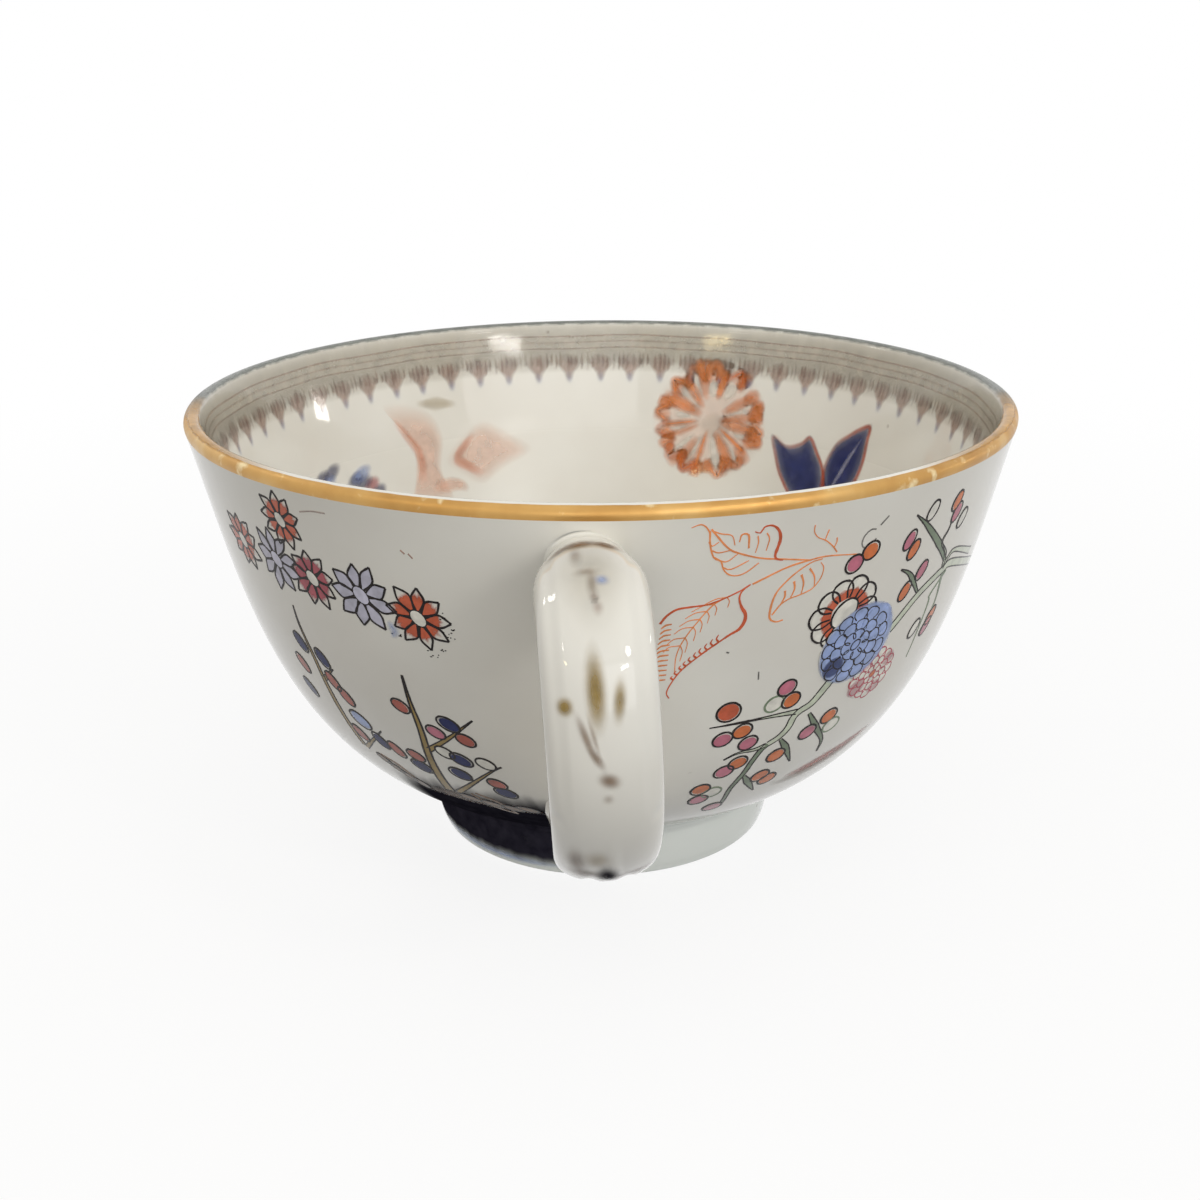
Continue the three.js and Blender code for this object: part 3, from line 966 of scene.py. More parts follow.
make_camera()
make_world()
for name, lamp in LAMPS.items():
    make_lamp(name, *lamp)

porcelain = porcelain_material("porcelain", GLAZE_GREY, GLAZE_PALE)
# The foot gets a paler, cooler copy of the glaze, as painted light
lit_foot_porcelain = porcelain_material("lit_foot_porcelain", FOOT_LIT_GREY, FOOT_LIT_PALE)
gilding = gilding_material()


# Inside, the glaze loses its gloss from this height down, over this much of the wall
USED_BELOW = 43.5
USED_FADE = 5

# How finely the bodies' profiles are stepped
SIDE_STEPS = 90
BODY_FLOOR_STEPS = 30
GILT_SEAT_STEPS = 16
BARE_LIP_STEPS = 10
GILT_STEPS = 24
EDGE_STEPS = 7
HOLLOW_STEPS = 12
BEAD_STEPS = 9

# Where the gilding ends on the outer side, as a share of the way up it
GILT_END = outside_parameter(CUP_HEIGHT - GILT_DROP)


def make_bowl():
    side = cubic(*SIDE, np.linspace(0, GILT_END, SIDE_STEPS))
    outer = np.vstack([
        [[0, FOOT_HEIGHT + FLOOR_DOME], [foot_inside_radius(FOOT_HEIGHT), FOOT_HEIGHT]],
        side, [side[-1] + inward(GILT_END) * GILT_SKIN],
        lip_arc(LIP_RADIUS - GILT_SKIN, LIP_OUTER_END, GILT_INSIDE_ANGLE, GILT_SEAT_STEPS),
        lip_arc(LIP_RADIUS, GILT_INSIDE_ANGLE, LIP_INNER_END, BARE_LIP_STEPS),
    ])
    inner = np.vstack([inside_point(np.linspace(1, 0, SIDE_STEPS))[1:], floor_curve(BODY_FLOOR_STEPS)])
    used = np.r_[np.zeros(len(outer)), clamped((USED_BELOW - inner[:, 1]) / USED_FADE)]
    bowl = turned("bowl_body", np.vstack([outer, inner]), porcelain, used)
    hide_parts("bowl")
    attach(bowl, "root")


def make_gilding():
    edge = cubic(*SIDE, GILT_END)
    face = lip_arc(LIP_RADIUS, LIP_OUTER_END, GILT_INSIDE_ANGLE, GILT_STEPS)
    seat = lip_arc(LIP_RADIUS - GILT_SKIN, GILT_INSIDE_ANGLE, LIP_OUTER_END, GILT_STEPS)
    profile = np.vstack([[edge], face, seat, [edge + inward(GILT_END) * GILT_SKIN]])
    band = turned("gilt_band", profile, gilding)
    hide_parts("rim_gilding")
    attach(band, "root")


def foot_outer_profile():
    """The foot's outer side from the table up: a rounded edge, a hollow and a bead under the bowl."""
    bead_foot = FOOT_HEIGHT - FOOT_BEAD_HEIGHT
    edge_middle = [foot_outside_radius(0) - FOOT_EDGE_ROUND, FOOT_EDGE_ROUND]
    edge = FOOT_EDGE_ROUND * heading(np.linspace(-math.pi / 2, 0, EDGE_STEPS)) + edge_middle
    share = np.linspace(0, 1, HOLLOW_STEPS)[1:]
    height = FOOT_EDGE_ROUND + (bead_foot - FOOT_BEAD_DEPTH - FOOT_EDGE_ROUND) * share
    hollow = np.stack([foot_outside_radius(height) - FOOT_BEAD_DEPTH * share ** 3, height], -1)
    out, up = heading(np.linspace(0, math.pi / 2, BEAD_STEPS)[1:]).T
    bead = FOOT_BEAD_DEPTH * np.stack([-out, 2 * up - 1], -1) + [foot_outside_radius(bead_foot), bead_foot]
    return np.vstack([edge, hollow, bead, [[FOOT_TOP_RADIUS, FOOT_HEIGHT]]])


def make_foot():
    inner = [
        (foot_inside_radius(FOOT_HEIGHT), FOOT_HEIGHT),
        (foot_inside_radius(FOOT_EDGE_ROUND), FOOT_EDGE_ROUND),
        (foot_inside_radius(0) + FOOT_EDGE_ROUND, 0),
    ]
    foot = turned("foot_ring_body", np.vstack([foot_outer_profile(), inner]), lit_foot_porcelain)
    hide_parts("foot_ring")
    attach(foot, "root")


# Painted decoration. Each colour of enamel, as a screen shows it, and how much it shines.
PLAIN_SHINE = 0.5
COLOURS = {
    "ink": (38, 31, 31), "red": (206, 88, 44), "crimson": (178, 66, 80), "pink": (196, 96, 122),
    "orange": (220, 112, 40), "blue": (148, 170, 222), "indigo": (24, 37, 98), "lavender": (204, 202, 222),
    "pale_green": (200, 208, 184), "green": (116, 134, 106), "olive": (158, 131, 62), "iron": (234, 140, 72),
    "brown": (168, 136, 120), "sepia": (128, 94, 62), "rock": (42, 40, 52), "rust": (180, 78, 54),
    "lip_shade": (122, 126, 120), "peach": (236, 188, 162), "white": (230, 227, 216), "stone": (172, 164, 146),
    "gold": (200, 150, 66),
}
SHINE = {
    "rock": 0, "ink": 0.1, "indigo": 0.12, "sepia": 0.15, "olive": 0.2, "green": 0.25, "gold": 0.2,
    "red": 0.3, "rust": 0.3, "orange": 0.3, "crimson": 0.3,
}
enamel = {}
for name, colour in COLOURS.items():
    material = enamel_material(name, srgb(*colour), SHINE.get(name, PLAIN_SHINE))
    enamel[name] = Enamel(name + "_enamel", material)

# Widths of outlines
LINE = 0.22
FINE = 0.14

# The foot's outer side, from the bowl down
FOOT = Skin(foot_outer_profile()[::-1], -1)


def ring_of(points):
    """A closed stroke's points: round and a little past the start."""
    return np.vstack([points, points[:2]])


def at_share(points, share):
    """The point at a share of the way along a smooth curve through the points."""
    line = flowing(points)
    return line[round(share * (len(line) - 1))]


def draw(sheet, strokes, soft=""):
    """Strokes, each as its colour, points, widths and, where it isn't full, its cover."""
    for colour, points, widths, *cover in strokes:
        enamel[colour].stroke(sheet, points, widths, *cover, soft=soft)


def berries(sheet, colour, places, long=1.15, short=1.0, tilt=40, line="ink"):
    """Outlined ovals whose colour leaves a pale crescent."""
    for x, y in places:
        spot = sheet.on(x, y, tilt * DEGREE, 1)
        enamel["white"].wash(spot, ellipse(long, short), levels=((0, 1), (1, 1)))
        if colour:
            slip = (vary(-0.1, 0.08) * long, vary(-0.1, 0.1) * short)
            oval = ellipse(0.9 * long, 0.9 * short, middle=slip)
            levels = ((0, 1), (0.88, 0.95), (1, 0.3))
            enamel[colour].wash(spot.above(0.5), oval, slip, levels=levels)
        enamel[line].stroke(spot, ring_of(ellipse(long, short, count=14)), LINE)


def pointed_petal(base, tip, half, skew):
    """The two sides of a petal with a point that leans, along x."""
    length = tip - base
    return [
        np.array([(base, 0.15 * side), (base + 0.3 * length, 0.75 * side), (base + 0.6 * length, side),
                  (tip, skew)])
        for side in (-half, half)
    ]


def round_petal(base, tip, half):
    """A petal with a round tip, along x, as one side that turns back."""
    length = tip - base
    side = [(base, 0.55 * half), (base + 0.4 * length, 0.95 * half), (base + 0.82 * length, 0.8 * half)]
    return [np.array([(x, -y) for x, y in side] + [(tip, 0)] + side[::-1])]


def petals(sheet, count, petal, line="ink", width=LINE, fill=None, cover=None, start=0.0):
    """A ring of petals; petal gives the sides of each one."""
    for k in range(count):
        angle = start + 2 * math.pi * (k + vary(-0.07, 0.07)) / count
        sides = [turned_by(side, angle) for side in petal()]
        if fill:
            runs = [flowing(side) for side in sides]
            outline = runs[0] if len(runs) == 1 else np.vstack([runs[0], runs[1][::-1]])
            enamel[fill].wash(sheet, outline, outline.mean(axis=0), cover)
        for side in sides:
            enamel[line].stroke(sheet, side, width)


DAISY_PETALS = 9
SCALLOPED_PETALS = 10


def daisy(sheet, x, y, size, fill, heart="white", slip=(0, 0), start=0.2, cover=1.0, reach=0.74):
    """A star of pointed petals, coloured in a round patch that slips off centre."""
    spot = sheet.on(x, y, stretch=(1, 1.04))

    def petal():
        return pointed_petal(
            0.2 * size, size * vary(0.9, 1.12), size * vary(0.18, 0.22), size * vary(-0.12, 0.12)
        )

    patch = fading((reach - 0.08) * size, reach * size, np.array(slip) * size)
    petals(spot, DAISY_PETALS, petal, fill=fill, cover=lambda points: cover * patch(points), start=start)
    oval = ellipse(0.28 * size, 0.2 * size, 2.2, 14)
    enamel[heart].wash(spot.above(1), oval)
    enamel["ink"].stroke(spot, ring_of(oval), LINE)


def scalloped_flower(sheet, x, y, size):
    """A pale oval heart in a red ring, with round white petal tips."""
    spot = sheet.on(x, y, layer=1)
    enamel["white"].wash(spot, ellipse(0.95 * size, 0.95 * size))

    def petal():
        return round_petal(0.4 * size, size * vary(0.94, 1.05), 0.31 * size)

    ring = fading(0.68 * size, 0.72 * size, (0.03 * size, -0.04 * size))
    petals(spot.above(0.5), SCALLOPED_PETALS, petal, fill="red", cover=ring)
    heart = ellipse(0.44 * size, 0.32 * size, 0.9, 16)
    top = spot.above(1.5)
    enamel["white"].wash(top, heart)
    enamel["ink"].stroke(top, ring_of(heart), LINE)


def chrysanthemum(sheet, x, y, size, rings, ground, heart, line, layer):
    """Rings of round petals, each ring lying over the one outside it, on a ground of soft discs."""
    spot = sheet.on(x, y, layer=layer)
    top = spot.above(1)
    enamel["white"].wash(spot, ellipse(size, size))
    for colour, reach, slip, share in ground:
        middle = np.array(slip) * size
        disc = ellipse(reach * size, 0.95 * reach * size, 0.7, middle=middle)
        levels = ((0, share), (0.8, share), (0.93, 0.7 * share), (1, 0))
        enamel[colour].wash(spot.above(0.5), disc, middle, levels=levels)
    for count, base, tip, half in rings:
        def petal():
            return round_petal(base * size, tip * size * vary(0.95, 1.04), half * size)
        petals(spot, count, petal, line=line, width=FINE, start=vary(0, 1))
    oval = ellipse(0.15 * size, 0.11 * size, 0.9, 12)
    enamel[heart].wash(top, oval)
    enamel[line].stroke(top, ring_of(oval), FINE)


def branches(sheet, stems, line=FINE):
    """Stems with a line down each side, each as its colour, points and widths."""
    for colour, points, widths in stems:
        enamel[colour].stroke(sheet, points, widths, lift=FILM)
        for side in (-1, 1):
            enamel["ink"].stroke(sheet, points, line, aside=side * np.atleast_1d(widths) / 2)


def leaf_spray(sheet):
    """Three feathery leaves drawn in iron red, on thin stems."""
    draw(sheet, (
        ("iron", [(-1.2, 3.4), (-5.1, 3.9), (-7.2, 3.8), (-9.9, 3.3), (-13.2, 1.9)], (0.1, 0.15, 0.18)),
        ("iron", [(-7.2, 3.8), (-10.5, 4.4), (-12.8, 4.8), (-15.2, 5.6), (-16.6, 6.4), (-18.6, 8.6)],
         (0.13, 0.16, 0.18)),
        ("iron", [(-18.6, 8), (-19, 8.7), (-19.7, 9.2), (-20.6, 8.9)], (0.14, 0.13, 0.06)),
        ("iron", [(-18.7, 8.4), (-18.4, 6.8), (-17.8, 5.4), (-17, 4.9), (-16.6, 4), (-15.9, 3.3), (-15, 3.1),
                  (-14.1, 3.4), (-13, 4.3)], (0.15, 0.14, 0.09)),
        ("iron", [(-18.5, 8.4), (-17.5, 8), (-16.4, 7.7), (-15.9, 6.6)], (0.11, 0.07)),
    ))
    draw(sheet, [("iron", vein, (0.13, 0.07)) for vein in (
        [(-18.6, 7.2), (-18.2, 6.7), (-17.6, 7.1)], [(-18.1, 6.2), (-17.4, 5.9), (-16.1, 6.1)],
        [(-17.9, 5.5), (-16.5, 4.8), (-15.4, 5.6)], [(-16.7, 4.2), (-15.8, 3.9), (-14.1, 4.7)],
        [(-13.7, 7.4), (-13.5, 6.6), (-13.6, 5.5)], [(-12.8, 7.6), (-12.4, 6.9), (-12.5, 5.6)],
        [(-5.8, 7), (-5.9, 6.5), (-6, 5.9)], [(-4.6, 5.9), (-4.5, 5.4), (-4.7, 4.8)],
    )])
    draw(sheet, (
        ("iron", [(-15.5, 6.9), (-15.4, 7.7), (-14.7, 7.6), (-14.4, 6.1)], (0.1, 0.18, 0.15)),
        ("red", [(-14.1, 7.9), (-13.5, 7.7), (-13.2, 8.3), (-12.4, 8.4), (-11.6, 7.8), (-11.2, 6.7),
                 (-11.4, 4.9), (-10.9, 4.4), (-10.4, 4.3)], (0.09, 0.16, 0.31, 0.31, 0.13)),
        ("iron", [(-7.6, 7.8), (-7.5, 7), (-6.9, 6.3), (-5.9, 5.8), (-4.9, 5), (-4.2, 4.2)], (0.09, 0.14)),
    ))
    hanging_leaf(sheet)
    great_leaf(sheet)
    dashes = ([(-14.4, -6), (-14.1, -6.1)], [(-10.2, -9.1), (-10, -10.1)], [(1.8, 7.2), (0.9, 6.3)])
    draw(sheet, [("ink", dash, FINE, 0.6) for dash in dashes])


def hanging_leaf(sheet):
    """The leaf that hangs from the stem's near end, with veins from its middle to its right edge."""
    right_edge = [
        (-5.9, 3.3), (-5.4, 2.6), (-5.5, 1.4), (-6.3, 0.3), (-7.7, -0.2), (-8.6, -0.4), (-9.5, -0.9),
        (-10.3, -2.1),
    ]
    draw(sheet, (
        ("iron", [(-5.8, 3.7), (-7, 3.5), (-8.4, 2.7), (-9.5, 1.7), (-10.3, 0.6), (-10.6, -0.7),
                  (-10.5, -2.4), (-9.7, -3), (-8.9, -2.9)], (0.09, 0.13, 0.16, 0.22, 0.13)),
        ("iron", right_edge, (0.09, 0.1, 0.15)),
    ))
    middle = [(-6.5, 3.1), (-7.7, 2.4), (-9.2, 0.9), (-9.8, -0.2)]
    for share in (0.08, 0.24, 0.4, 0.56):
        top = at_share(middle, share * 1.4)
        foot = at_share(right_edge, 0.3 + share)
        enamel["iron"].stroke(sheet, [top, (top + foot) / 2 + (0.25, 0.1), foot], (0.22, 0.15, 0.07))


MIDRIB_VEINS = 7
EDGE_HAIRS = 10
EDGE_DASHES = 12


def great_leaf(sheet):
    """The great leaf beside the handle: its edges, its midrib and short strokes along both."""
    lower = [(-15.2, -4.4), (-17, -5.9), (-18.7, -7.7), (-19.5, -9.4), (-19.7, -10.6), (-19.3, -11.3)]
    midrib = [(-14.7, 1.1), (-16.8, 0), (-18.3, -2.2), (-19.3, -4.3), (-19.6, -6), (-19.4, -7.9)]
    draw(sheet, (
        ("red", [(-13.4, 1.9), (-14.1, 1.3), (-14.3, 0.5), (-13.9, -0.6), (-13.3, -1.5), (-13.2, -2.4),
                 (-13.6, -3.3), (-14.4, -3.8), (-15.2, -4.4)], (0.13, 0.16, 0.28, 0.38, 0.31, 0.16)),
        ("red", lower, (0.18, 0.14, 0.1)),
        ("red", [(-13.4, 1.9), (-14.7, 1.1), (-17.2, 0.1), (-19.1, -0.1), (-20.5, -0.3), (-21.4, -1),
                 (-21.9, -1.9)], (0.13, 0.14, 0.18, 0.25)),
        ("iron", midrib, (0.13, 0.11, 0.06)),
    ))
    for k in range(MIDRIB_VEINS):
        start = at_share(midrib, 0.1 + 0.1 * k)
        fall = 1.2 + 0.12 * k
        draw(sheet, (
            ("iron", [start, start + (-1.1, -0.1), start + (-2.3 + 0.12 * k, -0.7)], (0.1, 0.05)),
            ("iron", [start, start + (0.35, -0.4 * fall), start + (0.3, -fall)], (0.09, 0.05)),
        ))
    for k in range(EDGE_HAIRS):
        start = at_share(lower, 0.02 + 0.075 * k)
        rise = 0.9 - 0.05 * k
        hair = [start, start + (-0.35, 0.45 * rise), start + (-0.2, rise)]
        enamel["red"].stroke(sheet, hair, (0.22, 0.15, 0.05))
    for k in range(EDGE_DASHES):
        height = -2 - 0.62 * k
        dash = [(-20.7 + 0.05 * k, height), (-21.3, height - 0.1), (-21.7, height - 0.5)]
        enamel["iron"].stroke(sheet, dash, (0.1, 0.2, 0.1), 0.8)


def blossom_stems(sheet):
    """A pale green branch with twigs and thorns."""
    thorn = (0.35, 0.85, 0.5, 0.08)
    branches(sheet, (
        ("pale_green", [(-0.2, -12.2), (-1.1, -13.7), (-2.1, -15.2), (-3.3, -15.9), (-3.9, -16.7),
                        (-4.1, -18.2), (-4.8, -19.4), (-5.9, -20.2)], (1.1, 0.9, 0.8)),
        ("green", [(-5.9, -20.2), (-6.5, -21.1), (-6.9, -22.8), (-7.1, -24.8), (-7.4, -26.5),
                   (-7.5, -28.1), (-7.1, -30.4), (-6.9, -31.6)], (0.7, 0.6, 0.4)),
        ("pale_green", [(-3.7, -15.9), (-5.6, -15.8), (-8.1, -15.8), (-10.7, -15.9)], (0.7, 0.3, 0.1)),
    ))
    enamel["ink"].stroke(sheet, [(-8, -15.7), (-10.7, -15.9), (-13.9, -16.1)], (0.2, 0.34, 0.12))
    branches(sheet, (
        ("pale_green", [(-6.2, -20.3), (-7.4, -20.7), (-9.3, -20.8), (-10.7, -21.6)], (0.6, 0.3, 0.1)),
        ("green", [(-1.8, -16.7), (0.3, -19.6), (2.2, -22.2), (2.6, -24.4)], thorn),
        ("green", [(-4.4, -19.9), (-3.1, -21.6), (-1.2, -24.7)], thorn),
        ("green", [(-6.8, -25.5), (-5.7, -27), (-3.8, -29.6)], thorn),
        ("pale_green", [(27.2, -5.3), (17.5, -2.4), (15.3, -2.6), (12.9, -3.4), (10.3, -4.8),
                        (6.9, -7.9)], 1.0),
        ("pale_green", [(23.7, -2.8), (17.3, -0.7), (15.6, -1.3), (14.9, -2.4)], (0.9, 0.7, 0.3)),
        ("pale_green", [(14.9, -2.2), (14.5, -0.3), (12.9, 1.4), (13.6, 2.7), (13.9, 3.7)],
         (0.5, 0.3, 0.12)),
        ("green", [(6.3, 6.3), (8.6, 4.6), (12.5, 1.2), (14.9, -1.3)], (0.08, 0.7, 0.9, 0.5)),
        ("green", [(6, -0.1), (7.9, -1.2), (10.4, -4.1)], (0.1, 0.7, 0.3)),
    ))
    draw(sheet, (
        ("green", [(16.2, -3), (13.7, -5.4), (13.9, -6.8), (13.1, -13.7)], (0.3, 0.2, 0.1)),
        ("green", [(15.3, -3), (15.8, -6.9), (14.9, -9.5)], (0.4, 0.3, 0.1)),
    ))


def blossom_berries(sheet):
    """Round berries on the branch's lower half and long ones on its right half."""
    berries(sheet, "orange", [
        (0.4, 3.5), (-5.1, -13.9), (-9.9, -17.2), (-8.7, -22.5), (-4, -22.6), (-4.5, -26.2),
        (-11.4, -26.9), (1.5, -18.1), (-3.1, -27.3),
    ])
    berries(sheet, "pink", [
        (-1.5, 2.3), (-6.1, -12), (-11.9, -18.1), (-8.6, -19.3), (-9.9, -23.8), (-10.7, -29.3),
        (-0.9, -19.8), (-7.7, -32.2),
    ])
    berries(sheet, None, [(-7.1, -14), (2.5, -19.8), (-9.7, -27.9)], line="green")
    berries(sheet, "red", [(-12.3, -14.1)], long=1.35, short=1.3)
    upright = {"long": 1.25, "short": 0.75, "tilt": 62}
    berries(sheet, "orange", [(13.9, 6.2), (7.3, 2), (7.7, -3.2), (15.8, -8.8)], **upright)
    berries(sheet, "pink", [(14.5, 4.7), (6.2, 3.4), (10, -1.2), (15.3, -10.1)], **upright)
    berries(sheet, None, [(9.1, 6.2), (16.4, 3.5), (12.3, -9.4)], **upright)
    enamel["ink"].stroke(sheet, ring_of(ellipse(1.1, 0.9, 1, 10, (-0.2, 5)))[:9], FINE, 0.5)


def blossoms(sheet):
    """Three flowers, the blue one over parts of the others, and a smear of colour below them."""
    scalloped_flower(sheet, -1.2, -3.6, 4.3)
    chrysanthemum(sheet, 6.3, -13.5, 3.4, ((13, 0.7, 1, 0.2), (10, 0.4, 0.7, 0.17), (7, 0.18, 0.4, 0.14)), (
        ("pink", 0.3, (0.6, 0.45), 0.35), ("pink", 0.3, (-0.55, 0.5), 0.3), ("pink", 0.4, (-0.6, -0.4), 0.4),
        ("pink", 0.3, (0.35, -0.65), 0.3),
    ), "orange", "crimson", 3)
    chrysanthemum(sheet, 1.6, -8.2, 4.7, ((13, 0.7, 1, 0.2), (10, 0.42, 0.72, 0.19), (7, 0.16, 0.43, 0.17)), (
        ("blue", 1.13, (0.08, 0.02), 1), ("indigo", 0.3, (-0.5, -0.5), 0.6), ("blue", 0.5, (0.5, 0.5), 1),
    ), "blue", "ink", 5)
    draw(sheet, (
        ("sepia", [(-2, -29.4), (2, -28.9), (7.4, -27.1), (12.4, -24.6)], (1, 2.6, 2.4, 0.8), 0.45),
        ("rust", [(-0.5, -28.2), (2, -27.8), (4.6, -27), (7.4, -26.1), (10.2, -24.9), (12.4, -24)],
         (0.8, 2, 2.6, 2.4, 1.4, 0.6), 0.85),
    ), "all")


DOTS_PER_PLACE = 5


def daisy_garland(sheet):
    """Six daisies in a row, with dots and smears of spilt colour."""
    daisy(sheet, -7.5, 6, 3.2, "red", slip=(0.05, 0))
    daisy(sheet, -17.4, 1.1, 3.4, "red", slip=(-0.05, 0.05))
    daisy(sheet, -10.3, 0.6, 3.6, "lavender", "lavender", cover=0.85, reach=1.2)
    daisy(sheet, 2, -0.9, 3.9, "lavender", "lavender", (0.1, -0.1), 0.35, 0.85, 1.2)
    daisy(sheet, -4.6, -0.3, 3.4, "crimson", slip=(-0.05, -0.03))
    daisy(sheet, 8.5, -2.5, 3.6, "red", slip=(-0.04, 0.04), start=0)
    for x, y in ((11.6, -4.4), (11.1, -1.7), (5.6, -5.2), (9.1, -6.6), (10.7, -6.3), (12.1, -3.4)):
        for _ in range(DOTS_PER_PLACE):
            spot = sheet.on(x + hand.gauss(0, 0.35), y + hand.gauss(0, 0.3))
            enamel["ink"].wash(spot, ellipse(vary(0.06, 0.16), 0.08, count=6))
    draw(sheet, [("blue", [(4.6, -3.4), (5.2, -4.6), (4.7, -5.6)], (0.8, 1.6, 0.6), 0.5)], "all")
    draw(sheet, (
        ("brown", [(8.3, 5.4), (8.7, 5)], 0.15), ("brown", [(9.1, 5.1), (9.5, 4.6)], 0.15),
        ("brown", [(-3.8, 7.7), (-2, 8.1), (-0.1, 8.2)], FINE, 0.5),
    ))


def reeds(sheet):
    """Two blades with twigs."""
    twig = (0.7, 0.5, 0.3, 0.08)
    far_blade = [(-9.8, -5), (-9.7, -7.6), (-8.9, -11.7), (-8.4, -15.8), (-7.7, -20.6), (-7, -24.7)]
    near_blade = [(4.5, -10.3), (4.4, -13.9), (4.4, -17.9), (3.8, -22.5), (3.5, -26), (3.4, -29.2)]
    branches(sheet, [("olive", far_blade, (0.08, 0.45, 0.7, 0.6))])
    branches(sheet, [("olive", near_blade, (0.08, 0.6, 0.9, 1.2))], LINE)
    branches(sheet, [("olive", points, twig) for points in (
        [(4.3, -21.2), (7.8, -18.4), (9.7, -16.7), (11.4, -15.2)],
        [(4.6, -29.2), (8.4, -25.6), (11.2, -23.1), (12.5, -22.2)],
        [(-8.4, -14.5), (-7.2, -13.4), (-6, -12.4)], [(-6.8, -25), (-4, -22.3), (-1.9, -20.2)],
    )])


def reed_berries(sheet):
    """Long berries beside the blades, and the brown shapes at the rock's upper edge."""
    slanted = {"long": 1.2, "short": 0.82, "tilt": -32}
    drooping = {"long": 1.4, "short": 0.75, "tilt": -58}
    berries(sheet, "rust", [(2.9, -14.9), (9.7, -18.4), (10.8, -25.6), (1.8, -23)], **slanted)
    berries(sheet, "pink", [(6.3, -17.9)], **slanted)
    berries(sheet, None, [(6.3, -21.1), (10.8, -22)], **slanted)
    berries(sheet, "indigo", [
        (8.3, -16.3), (8, -21.9), (6.8, -24.7), (11.1, -27.4), (1.8, -24.9),
    ], 1.4, 0.9, -32)
    berries(sheet, "indigo", [(-10.7, -10.1), (-7.3, -11.3), (-12.9, -17.4), (-2.8, -22.1)], **drooping)
    berries(sheet, "rust", [
        (-12.1, -13.5), (-6.8, -14.3), (-5.4, -16.1), (-6.1, -22.1), (-0.8, -22.9),
    ], **drooping)
    berries(sheet, "blue", [(-4.7, -19.4)], 1.6, 1, -40)
    draw(sheet, [("sepia", root, (0.2, 0.5, 0.2)) for root in (
        [(-4.6, -25.3), (-2.4, -26.6), (-0.8, -29.4)], [(6.3, -28.9), (7.8, -31.6), (10, -33.1)],
        [(6.9, -28.6), (9.2, -30.4), (10, -33.1)],
    )])
    draw(sheet, [("sepia", [(-1, -30), (4, -30.4), (9, -31.2), (14, -32)], (1.4, 2.4, 2, 1), 0.6)], "all")
    berries(sheet, "sepia", [(5.6, -30.2), (8, -30.9), (10.2, -31.4), (12, -31.2)], 1.3, 0.55, -20)
    berries(sheet, "sepia", [(-4.5, -26.2), (-3.3, -27.4), (-2, -28.6), (-0.7, -29.5)], 1.1, 0.5, -45)


# How far down the inside the border is measured round
BORDER_DROP = 3
TEETH = 63
TOOTH = [(-1.6, 1.4), (0, 2.3), (1.6, 1.4), (0.9, 0.1), (0, -1.3), (-0.9, 0.1)]
HAIRS_PER_TOOTH = 6
HOOP_POINTS = 181

# How the thin lines of the border wander: two waves, in radians per millimetre
WANDER_FAST = 0.31
WANDER_SLOW = 0.083


def border():
    """A worn band with three thin lines and a row of teeth, round the inside of the lip."""
    around_lip = INSIDE.radius_at(BORDER_DROP)
    belt = Sheet(INSIDE, 180, 0, radius=around_lip)
    upper = Sheet(INSIDE, 180, 0, layer=1, radius=around_lip)
    half = math.pi * around_lip

    def hoop(sheet, colour, drop, width, cover, wander=0.0):
        line = [
            (x, -drop + wander * math.sin(x * WANDER_FAST) * math.cos(x * WANDER_SLOW))
            for x in np.linspace(-half, half, HOOP_POINTS)
        ]
        enamel[colour].stroke(sheet, line, width, cover, "sides")

    hoop(belt, "stone", 3.6, 6.4, 0.55)
    hoop(belt, "stone", 6.2, 3.6, 0.3)
    for drop, cover in ((2.6, 0.45), (3.5, 0.3), (4.4, 0.4)):
        hoop(upper, "brown", drop, 0.3, cover, 0.12)
    gap = 2 * half / TEETH
    for k in range(TEETH):
        middle = (k - TEETH // 2) * gap
        x = middle + vary(-0.15, 0.15)
        levels = ((0, 0.55), (0.5, 0.45), (0.9, 0.2), (1.2, 0))
        enamel["brown"].wash(upper.on(x, -7.9), flowing(TOOTH, closed=True), levels=levels)
        enamel["blue"].wash(upper.on(x, -8.8, layer=1), ellipse(0.6, 0.8), levels=((0, 0.25), (1.2, 0)))
        for n in range(HAIRS_PER_TOOTH):
            x = middle + (n + vary(0.2, 0.8)) * gap / HAIRS_PER_TOOTH
            top, foot = -vary(4.9, 5.6), -vary(6.9, 7.9)
            hair = [(x, top), (x + 0.1, (top + foot) / 2), (x, foot)]
            enamel["brown"].stroke(upper, hair, (0.3, 0.6, 0.4), vary(0.15, 0.45), soft="all")


# The waves of a ragged edge: height, radians per millimetre and where the wave starts
RAGGED_WAVES = ((1, 1.7, 0.4), (0.6, 3.9, 1.1), (0.35, 8.3, 0))


def ragged(value, x, amount):
    """Wanders a value along x, so that a patch's edge isn't even."""
    return value + amount * sum(height * np.sin(pace * x + start) for height, pace, start in RAGGED_WAVES)


LIP_ROW_STEP = 0.1


def lip_strip(colour, middle, height, fade, cover):
    """A strip over the top of the lip. cover maps the degrees round from the handle to cover."""
    radius = LIP.radius_at(middle)

    def edged(x, y):
        ends = clamped((height / 2 - np.abs(y) + ragged(0, x, 0.05)) / fade)
        return ends * cover(np.abs(x) / radius / DEGREE)

    strip = Sheet(LIP, 0, middle, radius=radius)
    enamel[colour].patch(strip, 2 * math.pi * radius, height, edged, LIP_ROW_STEP)


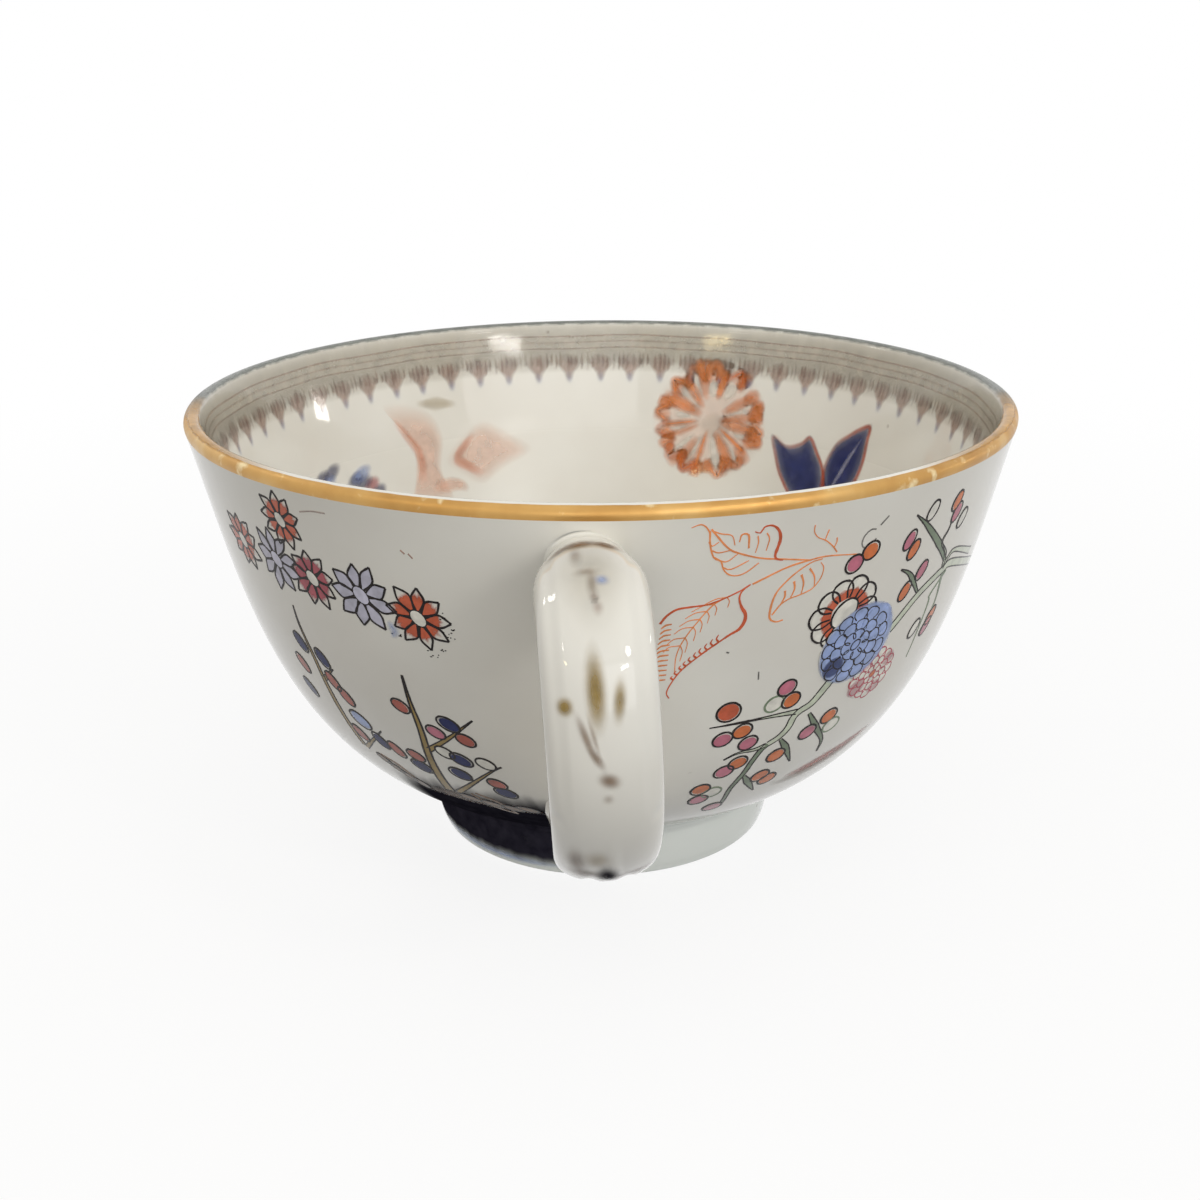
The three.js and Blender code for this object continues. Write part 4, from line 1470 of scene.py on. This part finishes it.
def lip():
    """Gilding left over the lip on both sides of the handle, and a grey line of painted shade along the top
    of the lip at the back.
    """
    lip_strip("gold", 2, 1.7, 0.25, lambda turn: between(turn, 40, 26, 89, 12))
    # A grey line along the top of the lip towards the back: painted shade of the lip's far side
    lip_strip("lip_shade", 2.1, 1.5, 0.5, lambda turn: 0.95 * clamped((turn - 78) / 14))


def soft_blot(colour, sheet, outline, middle, cover, edge=1.2):
    levels = ((0, cover), (0.6, 0.95 * cover), (0.85, 0.75 * cover), (edge, 0))
    enamel[colour].wash(sheet, flowing(outline, closed=True), middle, levels=levels)


PETAL_TIPS = 30
INNER_PETALS = 13


def inner_flower(sheet, x, y, size):
    """A loosely brushed orange flower with pale petals."""
    spot = sheet.on(x, y)

    def dab(colour, angle, start, end, width, cover, layer):
        way = size * heading(angle)
        points = [way * start, way * (start + end) / 2, way * end]
        widths = (0.7 * width * size, width * size, 0.5 * width * size)
        enamel[colour].stroke(spot.above(layer), points, widths, cover, soft="all")

    soft_blot("peach", spot, ellipse(0.95 * size, 0.95 * size, count=10), (0, 0), 0.25, 1.1)
    for k in range(PETAL_TIPS):
        angle = 2 * math.pi * (k + vary(-0.6, 0.6)) / PETAL_TIPS
        dab("iron", angle, vary(0.9, 1.1), vary(0.55, 0.8), vary(0.2, 0.34), vary(0.3, 0.7), 1)
    for k in range(INNER_PETALS):
        angle = 2 * math.pi * (k + vary(-0.35, 0.35)) / INNER_PETALS
        dab("iron", angle + vary(0.15, 0.3), vary(0.85, 1), vary(0.15, 0.4), vary(0.14, 0.3),
            vary(0.35, 0.75), 3)
        dab("white", angle, vary(0.66, 0.9), vary(0.2, 0.45), vary(0.16, 0.26), vary(0.3, 0.7), 2)
        scallop = [
            size * reach * heading(angle + aside)
            for aside, reach in ((-0.26, 0.7), (0, 0.97), (0.26, 0.7))
        ]
        colour = hand.choice(("iron", "iron", "orange"))
        enamel[colour].stroke(spot.above(4), scallop, vary(0.12, 0.2) * size, vary(0.3, 0.65), "all")
    heart = spot.on(0.1 * size, -0.1 * size, layer=3)
    soft_blot("stone", heart, ellipse(0.24 * size, 0.2 * size, count=8), (0, 0), 0.15)


def inner_leaves(sheet):
    """Two indigo leaves edged with red, on either side of a stem."""
    left = [(26.6, 0.2), (28.9, -0.9), (31.3, -0.2), (32.8, 0.9), (34, -0.8), (35.3, -3.6), (35, -7.8),
            (30.6, -8.4), (28, -5.4), (27, -2.4)]
    right = [(36, -1.6), (37.6, 0.8), (39.9, 2.4), (41.7, 3.5), (43.8, 4.3), (43.4, 2.3), (42.6, -1.1),
             (40.6, -4.6), (37.4, -7.4), (35.2, -7.6), (35.3, -4.2)]
    for outline, middle in ((left, (31, -4)), (right, (38.6, -1.6))):
        enamel["red"].stroke(sheet, ring_of(outline), 0.8, 0.6, "all")
        soft_blot("indigo", sheet, outline, middle, 0.85, 1.1)
    draw(sheet, [("lavender", [(36, -6.6), (39.4, -1.6), (42.4, 2.6)], (0.4, 0.9, 0.3), 0.4)], "all")


def inner_petals(sheet):
    """Two loose peach petals, blue flower heads at the edge and a faint green smear."""
    soft_blot("peach", sheet, [
        (-32.3, 3.9), (-29, 3.6), (-26.2, 2.2), (-24.8, -0.5), (-25, -4), (-23.6, -8), (-28.6, -8),
        (-28.4, -4), (-28.6, -1), (-30.4, 1.5),
    ], (-27, -2), 0.45, 1.35)
    draw(sheet, (
        ("orange", [(-32.3, 3.7), (-30.1, 1), (-28.4, -1.2), (-27.6, -3.4), (-27.6, -6)], (1, 1.6, 1.8), 0.3),
        ("peach", [(-26, -6.8), (-22, -7), (-20, -8)], (2, 2.6, 1), 0.5),
    ), "all")
    soft_blot("peach", sheet, [
        (-22.2, -3.2), (-20.2, -0.8), (-17.8, 0.6), (-14.8, -0.9), (-12.2, -3), (-15.5, -4.9), (-17.9, -6.3),
        (-20.2, -5),
    ], (-17.8, -2.8), 0.42, 1.35)
    fold = [(-19.2, 0.2), (-20.8, -1.6), (-21.8, -3.3), (-19.8, -4.8), (-17.8, -6)]
    enamel["orange"].stroke(sheet, fold, (1, 1.8, 1.4), 0.35, "all")
    for x, y, long, colour in (
        (-46.6, -1.6, 1.2, "indigo"), (-44.4, -1.2, 1.4, "indigo"), (-45.6, -2.6, 1.6, "blue"),
        (-39.8, -3.2, 1.2, "indigo"), (-38.2, -3.9, 1.3, "indigo"), (-36.6, -4.4, 1.1, "crimson"),
        (-38.6, -2.6, 1.5, "blue"), (-35.4, -5.6, 1.1, "indigo"),
    ):
        soft_blot(colour, sheet, ellipse(long, 0.8, 0.3, 8, (x, y)), (x, y), 0.5, 1.5)
    draw(sheet, [("olive", [(-28.5, 5.4), (-25, 5), (-21.8, 4.6)], (0.8, 2.4, 0.8), 0.3)], "all")


# How far out from the middle of the handle's face a mark may lie, as a share of its half-width
FACE_SHARE = 0.99


class HandleSheet:
    """The handle's outer face laid flat: x across it and -y how far along it from the top. Its layer
    keeps what is painted on it clear of the moulding."""

    layer = 2

    def lay(self, points):
        x, y = np.asarray(points, float).T
        share = np.clip(x / (HANDLE_WIDTH / 2), -FACE_SHARE, FACE_SHARE)
        angle = np.arccos(np.sign(share) * np.abs(share) ** (SECTION_SQUARENESS / 2))
        return handle_points(-y, angle), handle_normals(-y, angle)


# Brush marks down the handle: colour, cover, place, half-sizes across and along, and tilt
MARKS = (
    ("stone", 0.35, 0, -10, 2.6, 4.4, 0), ("sepia", 0.9, -0.8, -5.6, 1.6, 0.9, 0.1),
    ("sepia", 0.9, 1.9, -5.9, 1.2, 0.8, -0.4), ("sepia", 0.5, -2.8, -6.2, 1.3, 0.6, 0.7),
    ("sepia", 0.3, -1.2, -8, 0.5, 1.2, 0), ("sepia", 0.25, -0.4, -10.4, 0.9, 0.35, 0),
    ("sepia", 0.3, 0, -11.6, 0.4, 1.1, 0), ("blue", 0.51, 0.9, -11.3, 0.52, 0.39, 0),
    ("brown", 0.3, 0.1, -12.7, 0.38, 0.31, 0), ("brown", 0.3, 0.3, -13.5, 0.4, 0.45, 0),
    ("olive", 0.9, -0.5, -19.2, 0.75, 2.3, 0), ("olive", 0.7, 1.5, -20, 0.5, 1.3, -0.15),
    ("olive", 0.9, -3.2, -20.2, 0.6, 0.6, 0), ("sepia", 0.51, -1.6, -22.6, 0.34, 1.56, 0.35),
    ("sepia", 0.51, -0.8, -24.3, 0.34, 0.94, 0.6), ("sepia", 0.34, -0.9, -22.6, 0.19, 1.33, 0.25),
    ("sepia", 0.64, 0.2, -26.2, 0.83, 0.55, -0.3), ("sepia", 0.26, 0, -27.8, 0.45, 0.39, 0),
    ("rock", 0.95, -0.2, -40.2, 0.9, 2.3, 0), ("sepia", 0.75, -2.2, -40.4, 1.3, 1.5, 0.3),
    ("sepia", 0.5, 2.2, -41.2, 1.8, 0.9, 0), ("sepia", 0.51, -3.1, -37, 0.75, 2.34, 0),
    ("olive", 0.34, -1.2, -36, 1.05, 1.56, 0),
)


def handle_marks():
    """The worn brush marks down the handle."""
    face = HandleSheet()
    for colour, cover, x, y, across, along, tilt in MARKS:
        outline = flowing(ellipse(across, along, tilt, 10, (x, y)), closed=True)
        levels = ((0, cover), (0.4, 0.85 * cover), (0.9, 0.4 * cover), (1.25, 0.12 * cover), (1.6, 0))
        enamel[colour].wash(face, outline, (x, y), levels=levels)


# Where the rock's film lies on the bowl, and its size
ROCK_TURN = -26
ROCK_DROP = 48
ROCK_WIDTH = 38
ROCK_HEIGHT = 20

# The rock's upper edge on the bowl, how far it falls for each millimetre to the right and how deep it
# fades, then its lower edge on the foot, up from the film's end, and that edge's fade
ROCK_TOP = 8.7
ROCK_FALL = 0.03
ROCK_TOP_FADE = 4.4
ROCK_FOOT = 1.1
ROCK_FOOT_FADE = 1.4

# The film on the foot: where it lies and how wide it is. It keeps clear of the foot's two edges and
# has rows close enough to follow the bead.
FOOT_FILM_TURN = -36
FOOT_FILM_WIDTH = 40
FOOT_FILM_MARGIN = 0.4
FOOT_FILM_RISE = 0.15
FOOT_ROW_STEP = 0.12


def rock_mass():
    """The dark rock painted over the bowl's lowest part and on down the foot."""
    def cover(x, y):
        top = ragged(ROCK_TOP - ROCK_FALL * x, x, 0.3)
        return clamped((top - y) / ROCK_TOP_FADE) * between(x, -10, 4, 19, 5)

    enamel["rock"].patch(Sheet(OUTSIDE, ROCK_TURN, ROCK_DROP), ROCK_WIDTH, ROCK_HEIGHT, cover)
    height = FOOT.drops[-1] - FOOT_FILM_MARGIN
    low = Sheet(FOOT, FOOT_FILM_TURN, FOOT.drops[-1] / 2 - FOOT_FILM_RISE, layer=1)

    def low_cover(x, y):
        foot = ragged(ROCK_FOOT - height / 2, x, 0.1)
        return clamped((y - foot) / ROCK_FOOT_FADE) * between(x, -16.5, 3, 17, 8)

    enamel["rock"].patch(low, FOOT_FILM_WIDTH, height, low_cover, FOOT_ROW_STEP)
    # A soft blue band along the rock's lower edge on the foot: partly the colour's blue tint and partly a
    # painted bluish sheen of the foot's glaze
    edge = ROCK_FOOT + 0.1 - height / 2
    draw(low, [("blue", [(-15, edge), (-7, edge), (1, edge), (9, edge)], (0.8, 1.5, 1.4, 0.8), 0.5)], "all")


# Where the painted groups are laid: degrees to each side of the handle, and drops
SPRAY_TURN = 34
SPRAY_DROP = 12
INNER_DROP = 16

make_bowl()
make_gilding()
make_foot()
make_handle()
border()
lip()
for turn in (0, 180):
    right = Sheet(OUTSIDE, turn + SPRAY_TURN, SPRAY_DROP)
    leaf_spray(right)
    blossom_stems(right)
    blossom_berries(right)
    blossoms(right)
    left = Sheet(OUTSIDE, turn - SPRAY_TURN, SPRAY_DROP)
    daisy_garland(left)
    reeds(left)
    reed_berries(left)
    inner = Sheet(INSIDE, turn + 180, INNER_DROP)
    inner_flower(inner, 16.6, 1.5, 8.5)
    inner_leaves(inner)
    inner_petals(inner)
rock_mass()
handle_marks()
for colour in enamel.values():
    colour.finish()

# The floor reaches this far to the sides and in front, and this far behind
FLOOR_REACH = 4000
FLOOR_BACK = 12000
corners = [
    (-FLOOR_REACH, -FLOOR_REACH, 0), (FLOOR_REACH, -FLOOR_REACH, 0), (FLOOR_REACH, FLOOR_BACK, 0),
    (-FLOOR_REACH, FLOOR_BACK, 0),
]
floor = make_object("floor", corners, [(0, 1, 2, 3)], floor_material(), smooth=False)

scene = bpy.context.scene
scene.view_settings.view_transform = "Standard"
